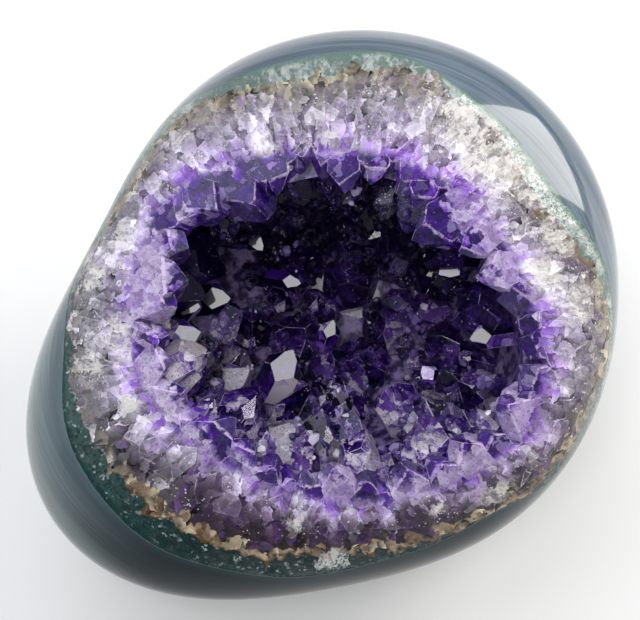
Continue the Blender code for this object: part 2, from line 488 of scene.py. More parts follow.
class Skin:
    """What every part of the polished skin's material reads: the growth distances and shared noises."""

    def __init__(self, paint):
        self.paint = paint
        self.place = paint.place()
        self.from_tan, self.from_rind, self.milkiness = paint.parts(paint.attribute("growth", "Vector"))
        self.ring = paint.attribute("ring", "Vector")
        self.round_face = paint.stretched(self.ring, (1, 1, 0))
        across, up, self.from_mouth = paint.parts(self.ring)
        self.lit_side = (across * 0.5 + up * 0.87).step(-52, 52)
        self.left_side = 1 - across.step(-55, -25)
        self.violet_reach = (1 - self.gap_to(VIOLET_SEAT).step(*VIOLET_FADE)) * VIOLET_REACH

        self.streaks = paint.stretched(self.ring, (1, 1, 0.4))
        self.patch = paint.noise(self.ring, 0.13, 2, 0.6)
        self.feather = paint.noise(self.streaks, 0.6, 3, 0.7, 0.7)
        self.grain = paint.noise(self.place, 1.5, 2, 0.75)
        drift = paint.moved(paint.noise(self.place, 0.35, 2, output="Color"), (-0.5, -0.5, -0.5))
        bent = paint.moved(paint.stretched(self.ring, (1, 1, 0.6)), paint.scaled(drift, 4.0))
        # The facets' tilt is a bump height, and also painted shading where it scales colours
        self.crackle_height, crackle = paint.facets(bent, 0.45)
        self.crackle, self.crackle_other, _ = paint.parts(crackle)
        glint, pit, _ = paint.parts(paint.cells(self.place, 2.8, output="Color"))
        self.glint = glint.step(0.955, 0.97) * (self.patch * 0.6 + self.feather * 0.6).step(0.58, 0.72)
        self.pit = pit.step(0.9, 0.93)

        cells = paint.cells(self.streaks, 0.17, output="Color")
        red, self.cell_pick, self.cell_shade = paint.parts(cells)
        ragged = (self.patch - 0.5) * 9 + (red - 0.5) * 4 + (self.crackle_other - 0.5) * 5
        self.out = self.from_mouth - self.violet_reach + ragged
        self.span = self.from_mouth - self.from_tan
        # The outer ring is darkened on the unlit side only: partly smoke-dark quartz, partly painted shade
        shade = (1 - self.lit_side.step(0.1, 0.6)) * (1 - self.left_side * 0.75)
        self.smoky = (self.out - self.span * 0.15).step(0.0, 5.0) * shade

    def gap_to(self, seat):
        """How far a place round the face is from another."""
        return self.paint.gap(self.round_face, seat)

    def chalk(self):
        """1 in the white crumbly spots, with ragged edges."""
        total = None
        for degrees, out, size in CHALK_SPOTS:
            bearing = math.radians(degrees)
            seat = (RING_RADIUS * math.cos(bearing), RING_RADIUS * math.sin(bearing), out)
            gap = self.paint.gap(self.ring, seat) / size
            total = gap if total is None else total.at_most(gap)
        ragged = total + (self.feather - 0.5) * 2.6 + (self.patch - 0.5) * 2 + (self.crackle - 0.5) * 0.5
        return 1 - ragged.step(0.6, 0.95)

    def speckled(self, colour, brightness=0.85):
        """A colour with bright glints and dark pits."""
        colour = self.paint.mix(colour, PIT_COLOUR, self.pit * 0.5)
        return self.paint.mix(colour, GLINT_COLOUR, self.glint * brightness)

    def quartz_tint(self):
        """The quartz's plain colour: violet by the hollow, pale, then smoke-dark below with painted shade,
        and pearly above with a painted sheen.
        """
        paint = self.paint
        share = self.out / self.span * (1 - MOUTH_STOP) + MOUTH_STOP
        colour = paint.ramp(share.clamp(), QUARTZ_STOPS)
        colour = paint.mix(colour, paint.stretched(colour, SMOKE_AND_SHADE_FACTORS), self.smoky * 0.9)
        pearly = (self.out - self.span * 0.2).step(0.0, 6.0)
        # Pearly haze on the lit top side: partly pearly quartz, partly a painted sheen
        colour = paint.mix(colour, PEARL_SHEEN, pearly * self.lit_side.step(0.55, 0.85) * 0.75)
        colour = paint.mix(colour, STONE_GREY, pearly * self.left_side * 0.7)
        olive = self.from_tan.step(-6.0, -0.5) * self.lit_side.step(0.5, 0.8)
        return paint.mix(colour, OLIVE, olive * 0.6)

    def quartz(self):
        """Colour of the quartz inside the tan line, a height that tilts its facets, and chalk."""
        paint = self.paint
        tone = self.cell_pick * 0.4 + self.feather * 0.4 + self.crackle * 0.55 + self.grain * 0.27
        white = (tone + self.milkiness * 0.22 - self.smoky * 0.3 - 1.02).step(0, 0.26)
        colour = paint.mix(self.quartz_tint(), FROST, white * (0.35 + self.milkiness * 0.5))
        flawed = (0.75 - tone).step(0, 0.26) * (0.8 - self.milkiness * 0.45)
        colour = paint.mix(colour, DARK_FLAW, flawed)
        splinter = (self.crackle_other - 0.7).step(0, 0.2) * (0.62 - self.feather) * 2
        colour = paint.mix(colour, PURPLE_SPLINTER, splinter)
        # Each cell is lightened or darkened by the tilt of its facet: painted shading
        colour = self.speckled(paint.scaled(colour, 0.75 + self.cell_shade * 0.5 + self.crackle_height * 0.8))
        chalk = self.chalk()
        crumb = (self.grain * 0.3 + self.feather * 0.7 + self.crackle * 0.25).step(0.46, 0.7)
        white_crumb = paint.scaled(CRUMB_COLOUR, 0.7 + self.feather * 0.6)
        colour = paint.mix(colour, white_crumb, chalk * (crumb * 0.75 + 0.2))
        return colour, self.crackle_height + (self.feather - 0.5) * 0.5, chalk


AGATE_IOR = 1.54
QUARTZ_IOR = 1.545
POLISH = {"Coat_Roughness": 0.03, "Coat_IOR": 1.5}

# The tan line's pale colour on the shaded side and on the lit side: painted light
CREAM_SHADED_AND_LIT = ((0.4, 0.3, 0.19), (0.34, 0.32, 0.24))
TAN_BROWN = (0.17, 0.1, 0.07)
TAN_PALE = (0.66, 0.58, 0.42)
TAN_DARK = (0.12, 0.07, 0.05)
RUST = (0.15, 0.07, 0.025)


def tan_layer(skin):
    """The jagged tan line: its colour, how far a place is past its inner and outer edge, and its strength."""
    paint, lit_side = skin.paint, skin.lit_side
    chunks = paint.cells(paint.stretched(skin.ring, (1, 1, 0.75)), 0.3, distance="MANHATTAN")
    chunk_tone = paint.parts(Flow(paint, chunks.socket.node.outputs["Color"]))[0]
    jagged = (0.45 - chunks) * 3.8 + (skin.patch - 0.5) * 5 + (skin.grain - 0.5) * 1.2
    past_inner = skin.from_tan + jagged
    width = 0.7 + skin.feather * 2.4 + (1 - lit_side) * 1.8 + lit_side.step(0.6, 0.9) * 1.6
    past_outer = past_inner - width

    # From the shaded copy to the lit copy across the lit side: painted light
    colour = paint.mix(*CREAM_SHADED_AND_LIT, lit_side.step(0.3, 0.8))
    colour = paint.mix(colour, TAN_BROWN, chunk_tone.step(0.3, 0.9) * 0.7 + (skin.grain - 0.5) * 0.9)
    colour = paint.mix(colour, TAN_PALE, skin.crackle.step(0.5, 0.95) * (0.9 - lit_side * 0.5))
    colour = paint.mix(colour, TAN_DARK, skin.crackle_other.step(0.45, 0.95) * (0.8 - lit_side * 0.5))
    # Each tan chunk is lightened or darkened by the tilt of its facet: painted shading
    colour = paint.scaled(colour, 1 + skin.crackle_height * 1.3)
    rusty = (past_outer + 1.6).step(0.0, 1.4) * paint.noise(skin.place, 0.5, 2).step(0.36, 0.54)
    colour = paint.mix(colour, RUST, rusty * (1 - lit_side))

    faint = [skin.gap_to(seat).step(near, far) for seat, near, far in FAINT_TAN]
    strength = FAINTEST_TAN + faint[0] * faint[1] * (1 - FAINTEST_TAN)
    return colour, past_inner, past_outer, strength


TEAL_SHADED = (0.008, 0.03, 0.031)
TEAL_LIT = (0.17, 0.23, 0.21)
TEAL_MIST = (0.56, 0.61, 0.58)
TEAL_GLOW = (0.012, 0.13, 0.125)
TEAL_LEFT = (0.08, 0.14, 0.13)
TEAL_SPECK = (0.004, 0.013, 0.015)
TEAL_FLAKE = (0.5, 0.6, 0.6)
TEAL_CHALK = (0.8, 0.85, 0.82)
# The dark green edge by the rind, on the shaded side and on the lit side: painted light
TEAL_EDGE_SHADED_AND_LIT = ((0.0, 0.035, 0.032), (0.12, 0.22, 0.17))


def teal_layer(skin, chalk):
    """Colour of the green quartz between the tan line and the rind, flaked with white."""
    paint, place, lit_side = skin.paint, skin.place, skin.lit_side
    share = skin.from_tan / (skin.from_tan - skin.from_rind)
    teal = paint.mix(TEAL_SHADED, bpy.context.scene.geode.teal_colour[:], lit_side.step(0.1, 0.75))
    teal = paint.mix(teal, TEAL_LIT, lit_side.step(0.4, 0.9) * 0.9)
    misty = (skin.feather * 0.8 + skin.patch * 0.4 + skin.crackle * 0.2 - 0.74).step(-0.1, 0.1)
    # Pale mist shown only on the lit side: partly misty quartz, partly painted light
    teal = paint.mix(teal, TEAL_MIST, lit_side.step(0.4, 0.9) * misty * 0.8)
    teal = paint.mix(teal, TEAL_GLOW, skin.left_side * skin.feather.step(0.48, 0.66) * 0.8)
    teal = paint.mix(teal, TEAL_LEFT, skin.left_side * 0.6)
    red, green, _ = paint.parts(paint.cells(place, 1.5, output="Color"))
    flake = red.step(0.8, 0.92) * paint.noise(place, 0.3, 2).step(0.42, 0.6)
    teal = paint.mix(teal, TEAL_SPECK, green.step(0.6, 0.95) * (0.6 - lit_side * 0.5))
    teal = paint.mix(teal, TEAL_FLAKE, flake * (0.35 + skin.grain * 0.7) * (1 - lit_side * 0.7))
    teal = paint.mix(teal, TEAL_CHALK, chalk * skin.grain.step(0.35, 0.6) * 0.9)
    # Edge colour from its shaded copy to its lit copy: painted light
    edge = paint.mix(*TEAL_EDGE_SHADED_AND_LIT, lit_side.step(0.5, 1.0))
    return paint.mix(teal, edge, share.step(0.8, 0.97) * 0.85)


RIND_SHADED = (0.001, 0.011, 0.016)
# The rind's left flank, lighter grey-blue from a painted reflection of the bright room at a grazing angle
RIND_LEFT_REFLECTION = (0.19, 0.24, 0.26)
RIND_LEFT_INNER = (0.05, 0.075, 0.1)
# The left flank's outer edge, lighter still: painted reflection
RIND_LEFT_OUTER_REFLECTION = (0.36, 0.4, 0.38)
RIND_OUTER = (0.03, 0.07, 0.12)
RIND_SHEEN = (0.02, 0.035, 0.038)
RIND_HAIRLINE = (0.13, 0.2, 0.2)


def rind_layer(skin):
    """Colour of the banded agate rind, and how near a place on its right or top is to its outside."""
    paint, from_rind, lit_side, left_side = skin.paint, skin.from_rind, skin.lit_side, skin.left_side
    bands = paint.noise(paint.stretched(skin.ring, (0.02, 0.02, 0.5)), 1.0, 3, 0.6)
    streak = paint.noise(paint.stretched(skin.ring, (0.04, 0.04, 1.6)), 1.0, 2, 0.6)
    # Painted reflection on the left flank, over the painted shade of the unlit side
    shaded = paint.mix(RIND_SHADED, RIND_LEFT_REFLECTION, left_side ** 2.0)
    rind = paint.mix(shaded, bpy.context.scene.geode.rind_colour[:], lit_side.step(0.05, 0.95))
    # Pale bands shown mostly on the lit side: real banding, with painted light
    rind = paint.mix(rind, paint.scaled(rind, 2.0), bands.step(0.38, 0.66) * (0.1 + lit_side * 0.5))
    # Long light and dark streaks along the rind: painted reflection streaks
    rind = paint.scaled(rind, 0.82 + streak.step(0.3, 0.7) * 0.36)
    rind = paint.mix(rind, RIND_LEFT_INNER, (1 - from_rind.step(2.0, 9.0)) * left_side * 0.6)
    # The left flank's outer edge is lighter still: painted reflection
    rind = paint.mix(rind, RIND_LEFT_OUTER_REFLECTION, from_rind.step(9.0, 17.0) * left_side * 0.5)
    outer = from_rind.step(6.0, 14.0) * (1 - left_side)
    rind = paint.mix(rind, RIND_OUTER, outer * lit_side * 0.65)
    near_line = 1 - from_rind.step(0.3, 3.0)
    rind = paint.mix(rind, paint.moved(rind, RIND_SHEEN), near_line * 0.6)
    hairline = (from_rind - 0.1).step(0.0, 0.15) * (1 - from_rind.step(0.3, 0.55))
    return paint.mix(rind, RIND_HAIRLINE, hairline * 0.5), outer


def stone_paint():
    """The polished skin of the stone, clear gloss over layers of agate and quartz."""
    paint = Paint("polished_stone")
    skin = Skin(paint)
    quartz, facets, chalk = skin.quartz()
    tan, past_inner, past_outer, strength = tan_layer(skin)
    rind, outer = rind_layer(skin)
    colour = paint.mix(quartz, tan, past_inner.step(-0.3, 0.3) * (1 - chalk * 0.9) * strength)
    colour = paint.mix(colour, teal_layer(skin, chalk), past_outer.step(-0.3, 0.3))
    rind_edge = skin.from_rind + (skin.patch - 0.5) * 0.6
    colour = paint.mix(colour, rind, rind_edge.step(-0.12, 0.12))
    crystalline = 1 - rind_edge.step(-0.3, 0.2)
    surface = paint.principled(
        Base_Color=colour, Roughness=0.15 + crystalline * 0.1, IOR=AGATE_IOR, Specular_IOR_Level=0.12,
        Normal=paint.bump(facets * crystalline, 0.5),
        Coat_Weight=(0.18 + skin.lit_side * 0.58) * (1 - outer * 0.45), **POLISH,
    )
    return paint.finish(surface)


DULL_GLOSS = 0.35


def clear_and_milky(paint, clear_colour, milky_colour, clearness, normal, milky_normal, gloss=DULL_GLOSS):
    """Clear crystal, clouded to milky where its clearness is low."""
    clear = paint.principled(
        Base_Color=clear_colour, Roughness=0.02, IOR=QUARTZ_IOR, Transmission_Weight=1.0, Normal=normal,
    )
    milky = paint.principled(
        Base_Color=milky_colour, Roughness=0.3, IOR=QUARTZ_IOR, Specular_IOR_Level=0.2, Normal=milky_normal,
        Coat_Weight=gloss, **POLISH,
    )
    return paint.node("ShaderNodeMixShader", {}, clearness, milky, clear)


LILAC = (0.78, 0.6, 0.98)
MILK = (0.97, 0.93, 1.0)
DUSK = (0.3, 0.2, 0.46)
VIVID_VIOLET = (0.15, 0.012, 0.54)
NIGHT_VIOLET = (0.01, 0.003, 0.08)
LIGHT_SPLINTER = (0.56, 0.42, 0.85)
LIT_FACET = (0.86, 0.83, 0.9)
# Cut edges and their outlines: partly chipped frosty quartz, partly painted highlight
SLICED_EDGE = (0.9, 0.87, 0.93)
PALE_EDGE_SHINE = (0.86, 0.66, 0.92)
BED_COLOURS = ((0.03, 0.018, 0.08), (0.3, 0.22, 0.46))
CLEAR_RIM_COLOURS = ((0.95, 0.9, 1.0), (0.5, 0.26, 0.88))
RIM_ABSORPTION = (0.6, 0.34, 0.86, 1)
RIM_DENSITY = 80.0
LINING_TONE = 2.0


def tip_colour(skin, violet, shards, other_shards, low_side, tone, facet, depth):
    """Colour of a rim crystal inside the mouth: lilac with milky patches, deepening to violet; whiter on the
    low side with painted light, and darker deep under the polish with painted shade.
    """
    paint, geode = skin.paint, bpy.context.scene.geode
    pale = paint.mix(LILAC, geode.quartz_colour[:], (tone * 0.7 + facet * 0.6 - 0.2).clamp())
    milk = (shards * 0.5 + skin.feather * 0.7 + skin.milkiness * 0.1).step(0.62, 0.8)
    # More milky white on the low side: partly milky quartz, partly painted light
    pale = paint.mix(pale, MILK, milk * (0.2 + tone * 0.4 + low_side * 0.25))
    pale = paint.mix(pale, DUSK, (0.52 - shards).step(0.0, 0.3) * (0.15 + tone * 0.5))
    core = (violet + (0.5 - shards) * 0.9).step(0.08, 0.58)
    deep = paint.mix(VIVID_VIOLET, geode.amethyst_colour[:], core)
    # Dark cores, darker still deep under the polish: partly deep violet quartz, partly painted shade
    deep = paint.mix(deep, NIGHT_VIOLET, (0.58 - shards).step(0.0, 0.3) * (0.55 + depth.step(0.0, 1.0) * 0.4))
    deep = paint.mix(deep, NIGHT_VIOLET, depth.step(0.3, 5.0) * 0.5)
    deep = paint.mix(deep, LIGHT_SPLINTER, (other_shards - 0.84).step(0.0, 0.08) * 0.6)
    return skin.speckled(paint.mix(pale, deep, violet.step(0.05, 0.36)), 0.12)


def rim_paint():
    """Crystals cut open by the polish: pale and clouded like the skin at the root, violet at the tip."""
    paint = Paint("rim_crystal")
    skin = Skin(paint)
    root_colour, facets, _ = skin.quartz()
    depth, tip, tone, edge, facet, worn = paint.attributes("depth", "tip", "tone", "edge", "facet", "worn")

    polished = 1 - depth.step(0.15, 0.4)
    cloud = paint.noise(skin.place, 0.3, 2, 0.6)
    shards, other_shards = paint.shards(skin.place, Flow(paint, cloud.socket.node.outputs["Color"]))
    lining = tone.step(LINING_TONE - 0.8, LINING_TONE - 0.2)
    inner = 1 - (skin.from_mouth - skin.violet_reach).step(-2.0, 1.0)
    # The low side, where the rim crystals are painted paler and less violet as if lit
    low_side = 1 - skin.lit_side.step(0.1, 0.5)
    share = (tip + (cloud - 0.5) * 7 + (shards - 0.5) * 4) / (4.0 + tone * 14)
    violet = (1 - share.step(0.1, 1.0)) * (0.3 + tone * 0.85) + depth.step(1.0, 9.0) * (0.1 + tone * 0.5)
    violet = (violet + (facet - 0.5) * 0.6 * (1 - polished) - low_side * 0.06).clamp()
    inside = tip_colour(skin, violet, shards, other_shards, low_side, tone, facet, depth)

    chips = paint.noise(skin.place, 0.8, 2, 0.7).step(0.36, 0.58)
    # Bright line where the polish cut a crystal, broken by chips: partly chipped quartz, partly painted
    # highlight
    sliced = edge.step(0.6, 1.0) * polished
    fresh = 1 - (tip - 4.0).step(0.0, 8.0)
    body = paint.scaled(root_colour, 1 + (facet - 0.5) * fresh * 0.9)
    lit = (facet - 0.75).step(0.0, 0.1) * skin.feather * fresh * (0.8 - skin.smoky * 0.6)
    body = paint.mix(body, LIT_FACET, lit)
    body = paint.mix(body, SLICED_EDGE, sliced * chips * fresh * (0.7 - skin.smoky * 0.4))
    milky_colour = paint.mix(body, inside, inner * 0.9)
    near_tip = 1 - (tip - 5.0).step(0.0, 5.0)
    # Shine along the cut edges and the chamfers near the tip: painted highlight
    shine = sliced * 0.9 + worn * facet.step(0.3, 0.8) * (1 - depth.step(3.0, 9.0)) * 0.8
    shine = shine.clamp() * inner * (0.1 + near_tip * 0.9) * chips
    milky_colour = paint.mix(milky_colour, PALE_EDGE_SHINE, shine * 0.7)
    milky_colour = paint.mix(milky_colour, paint.mix(*BED_COLOURS, cloud.step(0.4, 0.65)), lining)

    clear_colour = paint.mix(*CLEAR_RIM_COLOURS, violet)
    veils = shine + cloud.step(0.5, 0.7) * 0.2 + (shards - 0.5) * 0.5
    clearness = ((0.34 - veils) * inner * (1 - lining)).clamp()
    facets = facets * (1 - lining) * (1 - inner * 0.6)
    normal = paint.bump(facets * (1 - polished), 0.08)
    surface = clear_and_milky(paint, clear_colour, milky_colour, clearness, normal, paint.bump(facets, 0.4))
    return paint.finish(surface, paint.absorption(RIM_ABSORPTION, RIM_DENSITY))


AMETHYST_STOPS = (
    (0.0, (0.005, 0.002, 0.022)),
    (0.3, (0.062, 0.012, 0.28)),
    (0.6, (0.32, 0.14, 0.7)),
    (1.0, (0.97, 0.88, 1.0)),
)
DARK_SPECK = (0.01, 0.005, 0.03)
BRIGHT_SPECK = (0.95, 0.93, 1.0)
WHITE_VEIN = (0.85, 0.8, 0.98)
# Colour of the chamfered edges: painted edge highlight
CHAMFER_GLINT_COLOUR = (0.8, 0.74, 0.92)
CLEAR_POINT_COLOURS = ((0.42, 0.27, 0.78), (0.88, 0.76, 1.0))
POINT_ABSORPTION = (0.55, 0.3, 0.8, 1)
POINT_DENSITY = 75.0
SHINING_TONE = -0.5


def amethyst_paint():
    """Clear purple crystal, clouded white in veils and at its root; painted shade darkens it deeper down and
    nearly to black under the upper lip, and painted light makes it paler low on the wall.
    """
    paint = Paint("amethyst_crystal")
    place = paint.place()
    depth, tip, tone, facet, worn = paint.attributes("depth", "tip", "tone", "facet", "worn")
    cloud = paint.noise(place, 0.22, 2, 0.6)
    shards, feather = paint.shards(place, Flow(paint, cloud.socket.node.outputs["Color"]))
    clouded = tone.step(SHINING_TONE + 0.2, SHINING_TONE + 0.5)
    # Near the polish, low on the wall and under the upper lip: masks for painted light and painted shade
    shallow = 1 - depth.step(4.0, 24.0)
    height = paint.up_the_face(place)
    upper = height.step(-6.0, 18.0)
    low = 1 - height.step(-36.0, -2.0)

    root = (tip + (cloud - 0.5) * 6).step(3.0, 11.0)
    veil = (shards * 0.6 + cloud * 0.6).step(0.58, 0.82) * (0.35 + shallow * 0.4) * (0.3 + tone * 0.7)
    # Paler near the polish and low on the wall: painted light; nearly black under the upper lip: painted
    # shade
    pale = veil * (0.8 + low * 0.5) + root * 0.25 + shallow * 0.25 + (tone - 0.65).step(0.0, 0.25) * 0.3
    # Each face gets its own random shade, and a few faces are painted pale: painted reflections
    pale = pale + (facet - 0.38) * 0.9 + facet.step(0.72, 0.9) * 0.35
    pale = pale + low * 0.4 + (shards - 0.5) * 0.9 - 0.12
    milky_colour = paint.ramp((pale * (1 - upper * 0.9)).clamp(), AMETHYST_STOPS)

    light, dark, _ = paint.parts(paint.cells(place, 3.0, output="Color"))
    glint = light.step(0.96, 0.97) * cloud.step(0.5, 0.6) * clouded * 0.7
    milky_colour = paint.mix(milky_colour, DARK_SPECK, dark.step(0.88, 0.92) * 0.6 * clouded)
    milky_colour = paint.mix(milky_colour, BRIGHT_SPECK, glint)
    vein = 1 - (paint.noise(place, 0.9, 3, 0.65, 1.5) - 0.5).absolute().step(0.008, 0.03)
    scribble = vein * shards.step(0.42, 0.66) * tone.step(0.2, 0.6) * (1 - upper * 0.5)
    milky_colour = paint.mix(milky_colour, WHITE_VEIN, scribble * 0.7)
    # Chamfered edges painted bright, more on the lower wall and less under the upper lip: painted highlight
    edge = worn * (1 - upper * 0.8) * (feather * 0.6 + cloud * 0.4).step(0.42, 0.7) * (0.5 + low * 0.5)
    milky_colour = paint.mix(milky_colour, CHAMFER_GLINT_COLOUR, edge * 0.75)

    # The clear part is darker deep down and under the upper lip: painted shade
    clear_colour = paint.mix(*CLEAR_POINT_COLOURS, (shallow * 0.5 + facet * 0.5) * (1 - upper))
    veils = veil * 0.7 + root * shallow * 0.3 + (edge + glint) * 0.6 + (tone - 0.7).step(0.0, 0.3) * 0.3
    clearness = (0.7 - veils).clamp() * clouded
    gloss = 1 - clouded * (1 - DULL_GLOSS)
    surface = clear_and_milky(paint, clear_colour, milky_colour, clearness, None, None, gloss)
    return paint.finish(surface, paint.absorption(POINT_ABSORPTION, POINT_DENSITY))


SMALL_STOPS = (
    (0.0, (0.008, 0.005, 0.026)),
    (0.3, (0.07, 0.04, 0.22)),
    (0.6, (0.28, 0.19, 0.56)),
    (1.0, (0.95, 0.92, 1.0)),
)
CLEAR_SMALL_COLOUR = (0.6, 0.48, 0.85)


def small_crystal_paint():
    """Small clouded points: most of them dark, some pale, each face its own shade, a few painted bright as
    glints; painted shade darkens those high up and deep down, painted light pales those low on the wall.
    """
    paint = Paint("small_crystal")
    height = paint.up_the_face(paint.place())
    depth, tone, facet = paint.attributes("depth", "tone", "facet")
    upper = height.step(-10.0, 20.0)
    low = 1 - height.step(-36.0, -2.0)
    # Each face gets its own random shade, and a few faces are painted bright: painted glints
    pale = (tone - 0.5) * 0.2 + (facet - 0.35) * 0.75 + facet.step(0.75, 0.9) * 0.25
    # Paler near the polish and low on the wall: painted light; darker high up under the lip: painted shade
    pale = pale + (1 - depth.step(3.0, 20.0)) * 0.2 + low * 0.3
    pale = (pale * (1 - upper * 0.7)).at_least(facet.step(0.93, 0.97) * (1 - upper * 0.3))
    milky_colour = paint.ramp(pale.clamp(), SMALL_STOPS)
    return paint.finish(
        clear_and_milky(paint, CLEAR_SMALL_COLOUR, milky_colour, 0.35 - pale * 0.3, None, None)
    )


def add_mesh(name, mesh, material):
    """An object for a finished mesh, at the origin."""
    mesh.materials.clear()
    mesh.materials.append(material)
    return new_object(name, mesh)


def grid_mesh(name, rows):
    """A closed skin from rows of points that run round the axis, with a pole at either end."""
    count, segments = rows.shape[0], rows.shape[1]
    mesh = bpy.data.meshes.new(name)
    points = rows.reshape(-1, 3)
    first, last = len(points), len(points) + 1
    points = np.vstack([points, rows[0].mean(0), rows[-1].mean(0)])
    faces = []
    for i in range(count - 1):
        for j in range(segments):
            k = (j + 1) % segments
            faces.append((i * segments + j, i * segments + k, (i + 1) * segments + k, (i + 1) * segments + j))
    for j in range(segments):
        k = (j + 1) % segments
        faces.append((first, k, j))
        faces.append((last, (count - 1) * segments + j, (count - 1) * segments + k))
    mesh.from_pydata(points.tolist(), [], faces)
    mesh.update()
    return mesh


def set_attribute(mesh, name, values, domain="POINT"):
    """Writes a number or a vector for each point, corner or face of a mesh."""
    kind = "FLOAT" if values.ndim == 1 else "FLOAT_VECTOR"
    made = mesh.attributes.new(name, kind, domain)
    made.data.foreach_set("value" if kind == "FLOAT" else "vector", values.astype(np.float32).ravel())


def read(items, name, width=1, kind=np.float64):
    """One property of every point, corner or face, as an array."""
    values = np.zeros(len(items) * width, kind)
    items.foreach_get(name, values)
    return values if width == 1 else values.reshape(-1, width)


# How finely the stone is divided, and the step from its polished face down to the hollow's wall
STONE_SEGMENTS = 440
BACK_ROWS = 46
FACE_ROWS = 84
LIP_ROWS = 6
WALL_ROWS = 34
LIP_REACH = 1.0
LIP_DROP = 2.0


def build_stone():
    """The polished stone, from the pole of its back round the face to the floor of its hollow."""
    bearing = np.linspace(0, 2 * math.pi, STONE_SEGMENTS, endpoint=False)
    lip_radius = around(MOUTH_RADII, bearing) + LIP_REACH
    lip_rise = skin_rise_at(bearing, lip_radius)
    rows = []
    for i in range(1, BACK_ROWS + 1):
        rows.append(skin_points(bearing, -math.pi / 2 * (1 - i / BACK_ROWS) + 0 * bearing))
    for i in range(1, FACE_ROWS + 1):
        rows.append(skin_points(bearing, lip_rise * i / FACE_ROWS))
    skin_count = len(rows)
    edge = rows[-1]
    seat = wall_points(bearing, 0 * bearing)
    for i in range(1, LIP_ROWS + 1):
        share = i / LIP_ROWS
        dropped = edge * (1 - share) + seat * share
        dropped[..., 2] = np.minimum(dropped[..., 2], edge[..., 2] - LIP_DROP)
        rows.append(dropped)
    for i in range(1, WALL_ROWS):
        rows.append(wall_points(bearing, -math.pi / 2 * i / WALL_ROWS + 0 * bearing))
    rows = np.array(rows)

    steps = np.linalg.norm(np.diff(rows, axis=0), axis=-1)
    along = np.vstack([np.zeros(STONE_SEGMENTS), np.cumsum(steps, axis=0)])
    from_mouth = along[skin_count - 1] - along + skin_distance(bearing, lip_radius)
    growth, ring = growth_values(bearing, from_mouth)

    upright = stand(rows)
    upright[..., 2] = np.maximum(upright[..., 2], 0)
    mesh = grid_mesh("polished_stone", upright)
    for name, values in (("growth", growth), ("ring", ring)):
        flat = values.reshape(-1, 3)
        set_attribute(mesh, name, np.vstack([flat, flat[0], flat[-1]]))
    mesh.shade_smooth()
    return add_mesh("polished_stone", mesh, stone_paint())


def quartz_point(radius, reach, setbacks, squash=1.0):
    """One quartz point: a six-sided prism whose end is cut to six sloping faces, each set back a little."""
    bm = bmesh.new()
    bmesh.ops.create_cone(bm, cap_ends=True, segments=6, radius1=radius, radius2=radius, depth=reach)
    bmesh.ops.translate(bm, verts=bm.verts, vec=(0, 0, reach / 2))
    for k, setback in enumerate(setbacks):
        bearing = math.radians(30 + 60 * k)
        out = math.cos(TIP_FACE_SLOPE)
        normal = Vector((out * math.cos(bearing), out * math.sin(bearing), math.sin(TIP_FACE_SLOPE)))
        cut_off(bm, Vector((0, 0, reach + setback * radius)), normal)
    if squash != 1:
        bmesh.ops.scale(bm, verts=bm.verts, vec=(1, squash, 1))
    return bm


def cut_off(bm, through, normal):
    """Cuts away what lies past a plane and closes the cut."""
    parts = bm.verts[:] + bm.edges[:] + bm.faces[:]
    bmesh.ops.bisect_plane(bm, geom=parts, plane_co=through, plane_no=normal, clear_outer=True)
    bmesh.ops.holes_fill(bm, edges=bm.edges[:])


HIGHEST_RISE = math.radians(24)
TANGENT_STEP = 0.01


def wall_places(count):
    """Spreads bearings and rises evenly over the hollow's wall, from its floor to above its mouth."""
    top = math.sin(HIGHEST_RISE)
    for i in range(count):
        level = -1 + (1 + top) * (i + 0.5) / count
        yield (i * GOLDEN_ANGLE) % (2 * math.pi), math.asin(level)


def wall_point(bearing, rise, inset=0.0):
    """One point of the hollow's wall."""
    return Vector(wall_points(np.float64(bearing), np.float64(rise), inset))


def inward(bearing, rise):
    """The direction square to the hollow's wall, pointing into the hollow."""
    middle = wall_point(bearing, rise)
    along = wall_point(bearing + TANGENT_STEP, rise) - middle
    up = wall_point(bearing, rise + TANGENT_STEP) - middle
    return up.cross(along).normalized()


def leaned(direction, chance, most):
    """A direction tilted at random by up to an angle."""
    axis = direction.orthogonal().normalized()
    axis.rotate(Quaternion(direction, chance.uniform(0, 2 * math.pi)))
    tilted = direction.copy()
    tilted.rotate(Quaternion(axis, chance.uniform(0, most)))
    return tilted


def polish_plane(bearing, radius):
    """A point of the polished face at a bearing and radius, and the direction square to it."""
    rise = float(skin_rise_at(np.float64(bearing), radius))
    here = Vector(skin_points(np.float64(bearing), np.float64(rise)))
    side = Vector(skin_points(np.float64(bearing + TANGENT_STEP), np.float64(rise))) - here
    up = Vector(skin_points(np.float64(bearing), np.float64(rise + TANGENT_STEP))) - here
    return here, side.cross(up).normalized()


